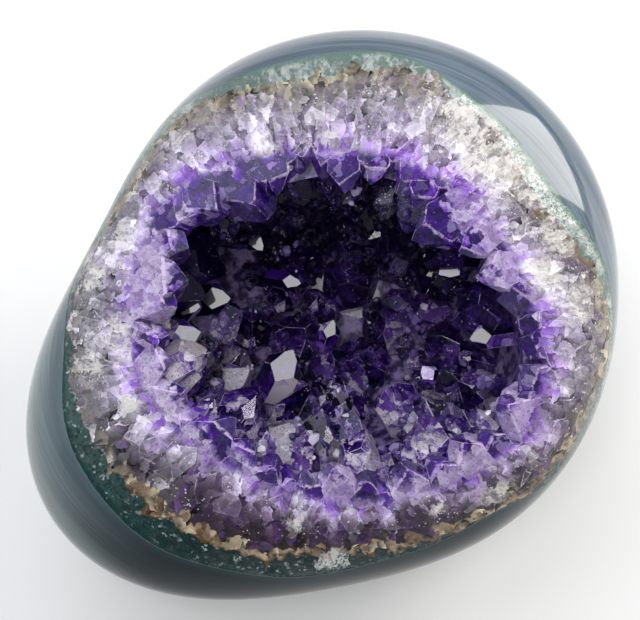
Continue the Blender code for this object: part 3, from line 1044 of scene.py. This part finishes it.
# Crystals that the polish cut open round the mouth, read off the photograph: bearing in degrees, distance of
# the tip from the face axis, width, and how deep its purple is
RIM_CRYSTALS = (
    (135, 32.5, 12, 0.9), (121, 26, 14, 1.0), (143, 37, 9, 0.5), (166, 33, 17, 0.12), (154, 35.5, 12, 0.25),
    (177, 34.5, 11, 0.1), (187, 36.5, 12, 0.35), (81, 28.5, 9, 0.7), (90, 32, 12, 0.35), (103, 33, 10, 0.5),
    (112, 30, 9, 0.8), (71, 32, 9, 0.4), (59.6, 32.5, 12, 0.6), (51, 32, 8, 0.5), (41, 26.5, 13, 0.75),
    (32, 34, 10, 0.25), (25.5, 34, 9, 0.3), (14, 36, 11, 0.2), (5, 40, 15, 0.4), (-7, 49, 8, 0.8),
    (-16, 54, 9, 0.9), (-27, 45, 14, 0.12), (-37, 45, 9, 0.7), (-45, 41, 11, 0.15), (-55, 41, 12, 0.2),
    (-63, 38, 11, 0.25), (-75, 37, 9, 0.4), (-88, 34, 9, 0.1), (-98, 36, 10, 0.45), (-109, 34, 10, 0.4),
    (-120, 33, 11, 0.3), (-131, 31.5, 13, 0.55), (-141, 35, 9, 0.4), (-152, 36.5, 11, 0.1),
    (-163, 36.5, 12, 0.12), (-172, 38, 10, 0.2),
)

# How far out from the mouth the rim crystals start, how much wider they are than the width that the cut
# shows, and how many more there are than those in the list
RIM_ROOT = 4.0
CUT_CRYSTAL_SHARE = 1.12
RIM_FILLERS = 44
RING_CRYSTALS = 110

CUTTER_SEGMENTS = 360
CUTTER_ROWS = 90
CUTTER_FLOOR = -70.0


def polish_cutter():
    """Everything under the polished face, as a closed solid."""
    bearing = np.linspace(0, 2 * math.pi, CUTTER_SEGMENTS, endpoint=False)
    rows = [skin_points(bearing, math.pi / 2 * i / CUTTER_ROWS + 0 * bearing) for i in range(CUTTER_ROWS)]
    floor = rows[0] * np.array([1, 1, 0]) + np.array([0, 0, CUTTER_FLOOR])
    inner_floor = floor * np.array([0.3, 0.3, 1])
    mesh = grid_mesh("polish", np.array([inner_floor, floor, *rows]))
    return new_object("polish", mesh)


def new_object(name, mesh):
    """A scene object for a mesh."""
    made = bpy.data.objects.new(name, mesh)
    bpy.context.scene.collection.objects.link(made)
    return made


def evaluated(item):
    """A new mesh of an object with its modifiers applied."""
    return bpy.data.meshes.new_from_object(item.evaluated_get(bpy.context.evaluated_depsgraph_get()))


def joined(name, meshes):
    """One mesh of several."""
    solid = bmesh.new()
    for mesh in meshes:
        solid.from_mesh(mesh)
    result = bpy.data.meshes.new(name)
    solid.to_mesh(result)
    solid.free()
    return result


def fused(name, meshes):
    """One skin round overlapping solids: those that stand clear of each other are fused a group at a time."""
    groups = []
    for mesh in meshes:
        points = coordinates(mesh)
        middle = points.mean(0)
        size = np.linalg.norm(points - middle, axis=1).max()
        for group in groups:
            if all(np.linalg.norm(middle - other) > size + other_size for _, other, other_size in group):
                group.append((mesh, middle, size))
                break
        else:
            groups.append([(mesh, middle, size)])
    parts = [new_object("group", joined("group", [item[0] for item in group])) for group in groups]
    others = bpy.data.collections.new("groups")
    for part in parts[1:]:
        others.objects.link(part)
    union = parts[0].modifiers.new("union", "BOOLEAN")
    union.operation = "UNION"
    union.solver = "MANIFOLD"
    union.operand_type = "COLLECTION"
    union.collection = others
    result = evaluated(parts[0])
    result.name = name
    for part in parts:
        bpy.data.objects.remove(part)
    bpy.data.collections.remove(others)
    return result


RIM_CHAMFER = 0.09
LARGE_CHAMFER = 0.1
SMALL_CHAMFER = 0.05
FACET_SEED = 21
POINT_DEPTH = 2.5
POLISHED_DEPTH = 0.2
SHARP_ANGLE = math.radians(14)


class Bed:
    """Gathers crystals, each with the values that its colours are read from."""

    def __init__(self):
        self.meshes = []
        self.values = []
        self.chance = random.Random(FACET_SEED)
        self.cutter = polish_cutter()
        self.holder = new_object("holder", bpy.data.meshes.new("holder"))
        cut = self.holder.modifiers.new("polish", "BOOLEAN")
        cut.operation = "INTERSECT"
        cut.solver = "MANIFOLD"
        cut.object = self.cutter

    def add(self, solid, apex, growth, tone, proud=None, chamfer=RIM_CHAMFER):
        """Adds a crystal, cut to the polish, or left out where it isn't to be cut and comes near it."""
        bmesh.ops.remove_doubles(solid, verts=solid.verts, dist=chamfer * 1.5)
        worn, facet = (solid.faces.layers.float.new(name) for name in ("worn", "facet"))
        settings = {"offset": chamfer, "segments": 1, "affect": "EDGES", "clamp_overlap": True}
        made = bmesh.ops.bevel(solid, geom=solid.edges[:], **settings)
        bmesh.ops.recalc_face_normals(solid, faces=solid.faces[:])
        for face in solid.faces:
            face[facet] = self.chance.random()
        # The chamfer faces are marked so that the materials can paint them bright as edge highlights
        for face in made["faces"]:
            face[worn] = 1
        mesh = bpy.data.meshes.new("crystal")
        solid.to_mesh(mesh)
        solid.free()
        if proud is None and polish_depth(coordinates(mesh)).min() < POINT_DEPTH:
            return
        if proud is not None:
            mesh = self.cut(mesh, proud)
        if len(mesh.vertices):
            self.gather(mesh, apex, growth, tone)

    def gather(self, mesh, apex, growth, tone):
        """Keeps a finished mesh, the place and direction of its tip and its tone."""
        set_attribute(mesh, "owner", np.full(len(mesh.polygons), len(self.meshes)), "FACE")
        set_attribute(mesh, "edge", cut_edges(mesh))
        self.meshes.append(mesh)
        self.values.append((np.array(apex), np.array(growth), tone))

    def cut(self, mesh, proud):
        """Cuts a crystal to the polished face."""
        mesh.transform(Matrix.Translation((0, 0, -proud)))
        self.holder.data = mesh
        cut = evaluated(self.holder)
        cut.transform(Matrix.Translation((0, 0, proud)))
        return cut

    def finish(self, name, material, fuse):
        """One mesh of all the crystals, with its values, stood upright."""
        result = fused(name, self.meshes) if fuse else joined(name, self.meshes)
        for holder in (self.holder, self.cutter):
            bpy.data.objects.remove(holder)
        points = coordinates(result)
        depth = polish_depth(points)
        corners = read(result.loops, "vertex_index", kind=np.int32)
        starts = read(result.polygons, "loop_start", kind=np.int32)
        sizes = read(result.polygons, "loop_total", kind=np.int32)
        owners = read(result.attributes["owner"].data, "value", kind=np.float32).round().astype(int)
        apexes, directions, tones = (np.array(values) for values in zip(*self.values))
        owner = np.repeat(owners, sizes)
        polished = np.maximum.reduceat(depth[corners], starts) < POLISHED_DEPTH
        facet = read(result.attributes["facet"].data, "value", kind=np.float32)
        facet = np.where(polished, owners * GOLDEN_ANGLE % 1, facet)
        result.attributes.remove(result.attributes["facet"])
        set_attribute(result, "facet", facet, "FACE")
        set_attribute(result, "tone", tones[owners], "FACE")
        set_attribute(result, "tip", ((apexes[owner] - points[corners]) * directions[owner]).sum(1), "CORNER")
        set_attribute(result, "depth", depth)
        bearing = np.arctan2(points[:, 1], points[:, 0])
        growth, ring = growth_values(bearing, skin_distance(bearing, np.hypot(points[:, 0], points[:, 1])))
        set_attribute(result, "growth", growth)
        set_attribute(result, "ring", ring)
        result.transform(UPRIGHT)
        result.shade_smooth()
        result.set_sharp_from_angle(angle=SHARP_ANGLE)
        return add_mesh(name, result, material)


def coordinates(mesh):
    """A mesh's points as an array."""
    return read(mesh.vertices, "co", 3)


def cut_edges(mesh):
    """1 at points where a polished top meets a crystal's own face, and 0 elsewhere."""
    top_points = polish_depth(coordinates(mesh)) < POLISHED_DEPTH
    edges = np.zeros(len(mesh.vertices))
    for face in mesh.polygons:
        corners = list(face.vertices)
        if not top_points[corners].all():
            edges[corners] = 1
    return edges * top_points


def polish_depth(points):
    """How far points lie under the polished face, along the face axis."""
    bearing = np.arctan2(points[:, 1], points[:, 0])
    share = np.clip(np.hypot(points[:, 0], points[:, 1]) / around(OUTLINE_RADII, bearing), 0, 1)
    return FACE_RISE * (1 - share**FACE_SQUARENESS) ** (1 / FACE_SQUARENESS) - points[:, 2]


LINING_DEPTH = 3.0
LINING_INSETS = (-2.0, 5.0)
LINING_SEGMENTS = 300


def add_lining(bed):
    """The crystals' common bed, a thick lining of the hollow."""
    bearing = np.linspace(0, 2 * math.pi, LINING_SEGMENTS, endpoint=False)
    skins = []
    for inset in LINING_INSETS:
        rises = [math.radians(-88 + 4 * i) + 0 * bearing for i in range(45)]
        skins.append(grid_mesh("lining", np.array([wall_points(bearing, rise, inset) for rise in rises])))
    skins[1].flip_normals()
    lining = bed.cut(joined("lining", skins), -LINING_DEPTH)
    bed.gather(lining, (0, 0, 0), (0, 0, 0), LINING_TONE)


def set_turn(growth, chance):
    """Turns a crystal to a growth direction, with a random spin about it."""
    spin = Quaternion((0, 0, 1), chance.uniform(0, math.pi / 3))
    return (growth.to_track_quat("Z", "Y") @ spin).to_matrix().to_4x4()


def random_setbacks(chance):
    """How far each of the six tip faces is set back."""
    return [chance.uniform(*(MINOR_FACE_SETBACK if k % 2 else MAJOR_FACE_SETBACK)) for k in range(6)]


def radius_at(line, degrees):
    """One radius, or one distance, of a closed line round the face."""
    return float(around(line, np.float64(math.radians(degrees))))


def lay_crystal(bed, chance, degrees, tip_radius, root_radius, width, tone, dip):
    """Lays a long crystal across the mouth's edge or in the ring round it, its top cut by the polish."""
    bearing = math.radians(degrees)
    half = width / 2 * CUT_CRYSTAL_SHARE
    skew = math.radians(chance.uniform(-5, 5))
    root_top, square = polish_plane(bearing + skew, root_radius)
    tip_top, _ = polish_plane(bearing, tip_radius)
    root = root_top - square * half * chance.uniform(0.45, 0.75)
    apex = tip_top - Vector((0, 0, half * chance.uniform(*dip)))
    growth = (apex - root).normalized()
    root -= growth
    crystal = quartz_point(half, (apex - root).length, random_setbacks(chance), chance.uniform(0.85, 1.1))
    crystal.transform(Matrix.Translation(root) @ set_turn(growth, chance))
    bed.add(crystal, apex, growth, tone, chance.uniform(0.06, 0.14))


def add_rim_crystals(bed, chance):
    """Long crystals round the mouth, and shorter ones in the polished ring behind them."""
    for i in range(RING_CRYSTALS):
        degrees = 360 * (i + chance.uniform(-0.4, 0.4)) / RING_CRYSTALS
        mouth = radius_at(MOUTH_RADII, degrees)
        root = mouth + radius_at(TAN_LINE, degrees) * 0.8 - chance.uniform(1.5, 4.0)
        tip = min(mouth + (i % 3) * 3 - chance.uniform(0, 3), root - 4)
        width, tone = chance.uniform(4.5, 9), chance.uniform(0, 0.6)
        lay_crystal(bed, chance, degrees, tip, root, width, tone, (0.1, 0.4))
    for i in range(RIM_FILLERS):
        degrees = 360 * (i + chance.uniform(-0.3, 0.3)) / RIM_FILLERS
        mouth = radius_at(MOUTH_RADII, degrees)
        tip, width = mouth - chance.uniform(4.0, 7.5), chance.uniform(7, 11)
        tone = 1 - radius_at(MILKINESS, degrees) * 0.8 + chance.uniform(-0.3, 0.3)
        tone = min(max(tone, 0), 1)
        lay_crystal(bed, chance, degrees, tip, mouth + RIM_ROOT, width, tone, (0.35, 0.8))
    for degrees, tip, width, tone in RIM_CRYSTALS:
        root = radius_at(MOUTH_RADII, degrees) + RIM_ROOT + 2
        dip = (0.1, 0.3) if tone < 0.35 else (0.3, 0.6)
        lay_crystal(bed, chance, degrees, tip, root, width, tone, dip)


def add_wall_crystals(bed):
    """The large points that line the hollow, where the construction model has them."""
    chance = random.Random(CRYSTAL_SEED)
    for bearing, rise in wall_places(CRYSTAL_COUNT):
        radius = chance.uniform(*CRYSTAL_RADIUS)
        reach = chance.uniform(*CRYSTAL_REACH)
        setbacks = random_setbacks(chance)
        growth = leaned(inward(bearing, rise), chance, CRYSTAL_TILT)
        root = wall_point(bearing, rise, CRUST_THICKNESS - CRYSTAL_ROOT)
        crystal = quartz_point(radius, reach, setbacks)
        crystal.transform(Matrix.Translation(root) @ set_turn(growth, chance))
        if not hides_a_hero(root + growth * reach):
            bed.add(crystal, root + growth * reach, growth, chance.random(), chamfer=LARGE_CHAMFER)


# Points of the hollow that catch the eye, read off the photograph: place of the tip across and up the face,
# radius, reach, how clouded it is, and whether a face is turned to throw back the lamp
HERO_POINTS = (
    (-26.7, 11.5, 7.5, 15, 0.1, False), (-24, 4.5, 4.6, 14, 0.2, True), (-31, 5, 7, 13, 0.15, False),
    (-6, 8, 3.0, 12, 0.1, True), (2.5, -0.5, 3.2, 13, 0.3, True), (-8.5, -9, 5.8, 15, 0.2, True),
    (-18, -20.5, 7.0, 15, 0.55, False), (16, -18, 6.6, 15, 0.95, False), (33, -1, 8.0, 15, 0.3, False),
    (25, -12.5, 2.8, 12, 0.2, True), (1.5, -9, 6.0, 13, 0.45, False), (-16, 16, 3.2, 12, 0.8, True),
    (-1, 6.5, 3.4, 11, 1.0, False), (-9.5, 5, 4.6, 12, 0.9, False), (-35, -11, 5.6, 12, 0.9, False),
    (-18, -14, 6.0, 13, 0.85, False), (-31, -4.5, 4.6, 12, 0.4, True), (10, -28.5, 5.2, 12, 0.6, False),
    (40, -18, 6.5, 13, 0.4, False), (-36, 2, 4.0, 12, 0.3, True), (31.3, 12, 4.2, 12, 0.2, True),
    (37.7, -5.8, 3.4, 12, 0.3, True),
)



# How far those points reach past the wall at their roots
HERO_ROOT = 4


def hides_a_hero(tip):
    """Whether a tip would stand in front of one of the points that catch the eye."""
    return any(math.hypot(tip.x - hero[0], tip.y - hero[1]) < hero[2] for hero in HERO_POINTS)


def wall_seats():
    """Places all over the hollow's wall and the inward direction at each, as arrays."""
    bearing, rise = np.meshgrid(np.radians(np.arange(0, 360, 3)), np.radians(np.arange(-86, 12, 3)))
    bearing, rise = bearing.ravel(), rise.ravel()
    middle = wall_points(bearing, rise)
    along = wall_points(bearing + TANGENT_STEP, rise) - middle
    up = wall_points(bearing, rise + TANGENT_STEP) - middle
    square = np.cross(up, along)
    return wall_points(bearing, rise, CRUST_THICKNESS), square / np.linalg.norm(square, axis=1)[:, None]


def halfway(tip, light):
    """The direction that a face must look to throw a light back to the camera."""
    to_camera = (Vector((*CAMERA_SHIFT, CAMERA_DISTANCE / MM)) - tip).normalized()
    to_light = (face_turn().transposed() @ Vector(light) / MM - tip).normalized()
    return (to_camera + to_light).normalized()


def facing(growth, facet):
    """A turn that keeps near a growth direction and brings the first tip face square to another direction."""
    side = facet.cross(growth).normalized()
    axis = facet.copy()
    axis.rotate(Quaternion(side, math.pi / 2 - TIP_FACE_SLOPE))
    across = (facet - axis * facet.dot(axis)).normalized()
    across.rotate(Quaternion(axis, -math.radians(30)))
    return Matrix((across, axis.cross(across), axis)).transposed()


def add_hero_crystals(bed, chance):
    """The points that catch the eye."""
    seats, squares = wall_seats()
    for across, up, radius, reach, tone, shining in HERO_POINTS:
        tips = seats + squares * (reach - CRYSTAL_ROOT)
        nearest = np.hypot(tips[:, 0] - across, tips[:, 1] - up).argmin()
        tip, growth = Vector(tips[nearest]), Vector(squares[nearest])
        if shining:
            turn = facing(growth, halfway(tip, LAMP))
        else:
            turn = set_turn(leaned(growth, chance, CRYSTAL_TILT), chance).to_3x3()
        growth = turn @ Vector((0, 0, 1))
        length = reach + HERO_ROOT
        crystal = quartz_point(radius, length, random_setbacks(chance))
        crystal.transform(Matrix.Translation(tip - growth * length) @ turn.to_4x4())
        bed.add(crystal, tip, growth, SHINING_TONE if shining else tone, chamfer=LARGE_CHAMFER)


FILL_COUNT = 260
FILL_RADIUS = (1.8, 4.2)
FILL_REACH = (6, 11.5)
FILL_TILT = math.radians(38)


def add_fill_crystals(bed, chance):
    """Middling points between the large ones."""
    for bearing, rise in wall_places(FILL_COUNT):
        radius = chance.uniform(*FILL_RADIUS)
        reach = chance.uniform(*FILL_REACH)
        bearing += chance.uniform(-0.15, 0.15)
        growth = leaned(inward(bearing, rise), chance, FILL_TILT)
        root = wall_point(bearing, rise, CRUST_THICKNESS - CRYSTAL_ROOT)
        crystal = quartz_point(radius, reach, random_setbacks(chance), chance.uniform(0.8, 1.15))
        crystal.transform(Matrix.Translation(root) @ set_turn(growth, chance))
        if not hides_a_hero(root + growth * reach):
            bed.add(crystal, root + growth * reach, growth, chance.random(), chamfer=SMALL_CHAMFER)


def build_rim():
    """The crystals' lining and the long crystals that are cut open round the mouth."""
    bed = Bed()
    add_lining(bed)
    add_rim_crystals(bed, random.Random(CRYSTAL_SEED + 1))
    return bed.finish("rim_crystals", rim_paint(), False)


def build_points():
    """The points that stand on the hollow's wall."""
    bed = Bed()
    add_hero_crystals(bed, random.Random(CRYSTAL_SEED + 3))
    add_wall_crystals(bed)
    add_fill_crystals(bed, random.Random(CRYSTAL_SEED + 2))
    return bed.finish("amethyst_points", amethyst_paint(), True)


SMALL_SEED = 5
SMALL_SHAPES = 6
SMALL_REACH = (1.6, 3.0)
SMALL_ROOT = 0.6
SMALL_LEAN = math.radians(40)
SMALLEST_SHARE = 0.2
PATCH_SCALE = 95.0

# The patches and the bare crystals leave about a third of the points standing
SOWN_PER_CRYSTAL = 3

SMALL_INPUTS = (
    ("Skin", "NodeSocketGeometry"), ("Points", "NodeSocketCollection"), ("Density", "NodeSocketFloat"),
    ("Smallest", "NodeSocketFloat"), ("Largest", "NodeSocketFloat"), ("Lean", "NodeSocketFloat"),
    ("Material", "NodeSocketMaterial"),
)


def growing_tree():
    """Geometry nodes that grow small quartz points in patches all over a skin."""
    group = bpy.data.node_groups.new("small_crystals", "GeometryNodeTree")
    for name, kind in SMALL_INPUTS:
        group.interface.new_socket(name, in_out="INPUT", socket_type=kind)
    group.interface.new_socket("Crystals", in_out="OUTPUT", socket_type="NodeSocketGeometry")
    tree = Tree(group)
    given = {socket.name: Flow(tree, socket) for socket in group.nodes.new("NodeGroupInput").outputs}

    def chance(seed, low=0.0, high=1.0, kind="FLOAT"):
        named = {"Min": low, "Max": high, "Seed": seed}
        return tree.node("FunctionNodeRandomValue", {"data_type": kind}, named=named, output="Value")

    depth = tree.node("GeometryNodeInputNamedAttribute", {"data_type": "FLOAT"}, "depth", output="Attribute")
    cloud = tree.node("ShaderNodeTexNoise", {}, named={"Scale": PATCH_SCALE, "Detail": 1.0})
    owner = tree.node("GeometryNodeInputNamedAttribute", {"data_type": "FLOAT"}, "owner", output="Attribute")
    bare = len(HERO_POINTS)
    patches = cloud.step(0.42, 0.62) * depth.step(2.0, 5.0) * owner.step(bare - 0.6, bare - 0.4)
    named = {"Mesh": given["Skin"], "Density": given["Density"] * patches, "Seed": SMALL_SEED}
    points = tree.node("GeometryNodeDistributePointsOnFaces", {}, named=named)
    rotation = Flow(tree, points.socket.node.outputs["Rotation"])
    settings = {"data_type": "FLOAT", "domain": "POINT"}
    named = {"Geometry": points, "Name": "tone", "Value": chance(SMALL_SEED + 1)}
    points = tree.node("GeometryNodeStoreNamedAttribute", settings, named=named)
    most = tree.node("ShaderNodeCombineXYZ", {}, given["Lean"], given["Lean"], math.pi)
    least = tree.vectors("SCALE", most, named={"Scale": -1})
    lean = chance(SMALL_SEED + 2, least, most, "FLOAT_VECTOR")
    turn = tree.node("FunctionNodeEulerToRotation", {}, lean)
    rotation = tree.node("FunctionNodeRotateRotation", {"rotation_space": "LOCAL"}, rotation, turn)
    size = given["Smallest"] + (given["Largest"] - given["Smallest"]) * chance(SMALL_SEED + 3) ** 3.0
    named = {"Collection": given["Points"], "Separate Children": True, "Reset Children": True}
    shapes = tree.node("GeometryNodeCollectionInfo", {}, named=named)
    named = {"Points": points, "Instance": shapes, "Pick Instance": True, "Rotation": rotation, "Scale": size}
    crystals = tree.node("GeometryNodeInstanceOnPoints", {}, named=named)
    crystals = tree.node("GeometryNodeRealizeInstances", {}, crystals)
    named = {"Geometry": crystals, "Material": given["Material"]}
    crystals = tree.node("GeometryNodeSetMaterial", {}, named=named)
    tree.plug(group.nodes.new("NodeGroupOutput").inputs[0], crystals)
    return group


def build_small_crystals():
    """Small points that grow in patches on the large ones."""
    geode = bpy.context.scene.geode
    chance = random.Random(SMALL_SEED)
    shapes = bpy.data.collections.new("small_shapes")
    for i in range(SMALL_SHAPES):
        solid = quartz_point(1.0, chance.uniform(*SMALL_REACH), random_setbacks(chance))
        bmesh.ops.translate(solid, verts=solid.verts, vec=(0, 0, -SMALL_ROOT))
        mesh = bpy.data.meshes.new("small_shape")
        solid.to_mesh(mesh)
        solid.free()
        shapes.objects.link(bpy.data.objects.new("small_shape", mesh))
    skin = bpy.data.objects["amethyst_points"].data
    holder = new_object("small_holder", skin)
    paint = small_crystal_paint()
    group = growing_tree()
    values = {
        "Points": shapes,
        "Density": SOWN_PER_CRYSTAL * geode.small_crystals / read(skin.polygons, "area").sum(),
        "Smallest": geode.small_size * SMALLEST_SHARE,
        "Largest": geode.small_size,
        "Lean": SMALL_LEAN,
        "Material": paint,
    }
    growing = holder.modifiers.new("growing", "NODES")
    growing.node_group = group
    for item in group.interface.items_tree:
        if item.name in values:
            growing[item.identifier] = values[item.name]
    result = evaluated(holder)
    holder.modifiers.clear()
    for spare in (holder, *shapes.objects):
        bpy.data.objects.remove(spare)
    bpy.data.collections.remove(shapes)
    facets = np.random.default_rng(SMALL_SEED).random(len(result.polygons))
    set_attribute(result, "facet", facets, "FACE")
    result.shade_flat()
    return add_mesh("small_crystals", result, paint)


class GEODE_OT_stone(bpy.types.Operator):
    """Build the polished agate stone"""

    bl_idname = "geode.stone"
    bl_label = "Polished Stone"

    def execute(self, context):
        stone = build_stone()
        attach(stone, "root")
        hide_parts("agate_shell")
        return {"FINISHED"}


class GEODE_OT_crystals(bpy.types.Operator):
    """Build the amethyst crystals, those round the mouth and those on the wall"""

    bl_idname = "geode.crystals"
    bl_label = "Large Crystals"

    def execute(self, context):
        for crystals in (build_rim(), build_points()):
            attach(crystals, "root")
            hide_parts("amethyst_crust")
        return {"FINISHED"}


class GEODE_OT_small_crystals(bpy.types.Operator):
    """Grow the small points on the large crystals"""

    bl_idname = "geode.small_crystals"
    bl_label = "Small Crystals"

    def execute(self, context):
        crystals = build_small_crystals()
        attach(crystals, "root")
        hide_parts("amethyst_crust")
        return {"FINISHED"}


def area_light(name, place, aim, size, power, colour=(1, 1, 1)):
    """A soft rectangular light that looks at a point."""
    lamp = bpy.data.lights.new(name, "AREA")
    lamp.shape = "RECTANGLE"
    lamp.size, lamp.size_y = size
    lamp.energy = power
    lamp.color = colour
    made = bpy.data.objects.new(name, lamp)
    bpy.context.scene.collection.objects.link(made)
    made.location = place
    made.rotation_euler = (Vector(aim) - Vector(place)).to_track_quat("-Z", "Y").to_euler()
    return made


# The world's light, and the lights' sizes in metres, powers in watts and tints
SKY = (0.93, 0.95, 1, 1)
SKY_STRENGTH = 0.26
WINDOW_LIGHT = ((0.36, 0.5), 4.2, (1.0, 0.97, 0.91))
OVERHEAD_LIGHT = ((0.9, 0.8), 3.9, (0.88, 0.92, 1.0))
LAMP_LIGHT = ((0.3, 0.3), 2.0)
LEFT_CARD_LIGHT = ((0.7, 0.7), 1.1)
FLOOR_COLOUR = (0.8, 0.8, 0.79)
FLOOR_GLOW = 0.2


class GEODE_OT_stage(bpy.types.Operator):
    """Build the plain floor, the soft lights and the camera"""

    bl_idname = "geode.stage"
    bl_label = "Stage"

    def execute(self, context):
        scene = context.scene
        geode = scene.geode
        world = bpy.data.worlds.new("studio")
        scene.world = world
        world.use_nodes = True
        sky = world.node_tree.nodes["Background"]
        sky.inputs["Color"].default_value = SKY
        sky.inputs["Strength"].default_value = SKY_STRENGTH
        scene.view_settings.view_transform = "Standard"
        scene.cycles.sample_clamp_indirect = 8
        scene.cycles.max_bounces = 8
        scene.cycles.transmission_bounces = 8

        if geode.show_floor:
            bpy.ops.mesh.primitive_plane_add(size=geode.floor_size, location=(0, 0, 0))
            floor = context.object
            floor.name = "floor"
            paint = Paint("pale_floor")
            cloth = paint.principled(
                Base_Color=FLOOR_COLOUR, Roughness=0.8, Specular_IOR_Level=0.2,
                Emission_Color=(1, 1, 1), Emission_Strength=FLOOR_GLOW,
            )
            floor.data.materials.append(paint.finish(cloth))

        centre = FACE_CENTRE
        area_light("window", centre + Vector(WINDOW), centre, *WINDOW_LIGHT)
        area_light("overhead", centre + Vector(OVERHEAD), centre, *OVERHEAD_LIGHT)
        area_light("lamp", centre + Vector(LAMP), centre, *LAMP_LIGHT)
        area_light("left_card", centre + Vector(LEFT_CARD), centre, *LEFT_CARD_LIGHT)

        camera = bpy.data.objects.new("camera", bpy.data.cameras.new("camera"))
        scene.collection.objects.link(camera)
        turn = face_turn()
        shift = turn @ Vector((CAMERA_SHIFT[0] * MM, CAMERA_SHIFT[1] * MM, 0))
        camera.location = centre + shift + FACE_AXIS * CAMERA_DISTANCE
        camera.rotation_euler = turn.to_euler()
        camera.data.lens = camera.data.sensor_width * CAMERA_DISTANCE / PICTURE_WIDTH_AT_STONE
        camera.data.clip_start = 0.01
        scene.camera = camera
        return {"FINISHED"}


class GEODE_PT_panel(bpy.types.Panel):
    """Lists the steps that build the geode"""

    bl_idname = "GEODE_PT_panel"
    bl_label = "Amethyst Geode"
    bl_space_type = "VIEW_3D"
    bl_region_type = "UI"
    bl_category = "Geode"

    def draw(self, context):
        for name in GeodeSettings.__annotations__:
            self.layout.prop(context.scene.geode, name)
        for operator in STEPS:
            self.layout.operator(operator.bl_idname)


STEPS = (GEODE_OT_stage, GEODE_OT_stone, GEODE_OT_crystals, GEODE_OT_small_crystals)
CLASSES = (GeodeSettings, *STEPS, GEODE_PT_panel)


def register():
    for item in CLASSES:
        bpy.utils.register_class(item)
    bpy.types.Scene.geode = PointerProperty(type=GeodeSettings)


def unregister():
    del bpy.types.Scene.geode
    for item in reversed(CLASSES):
        bpy.utils.unregister_class(item)


def main():
    """Registers the add-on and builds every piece."""
    register()
    bpy.ops.geode.stage()
    bpy.ops.geode.stone()
    bpy.ops.geode.crystals()
    bpy.ops.geode.small_crystals()


if __name__ == "__main__":
    main()
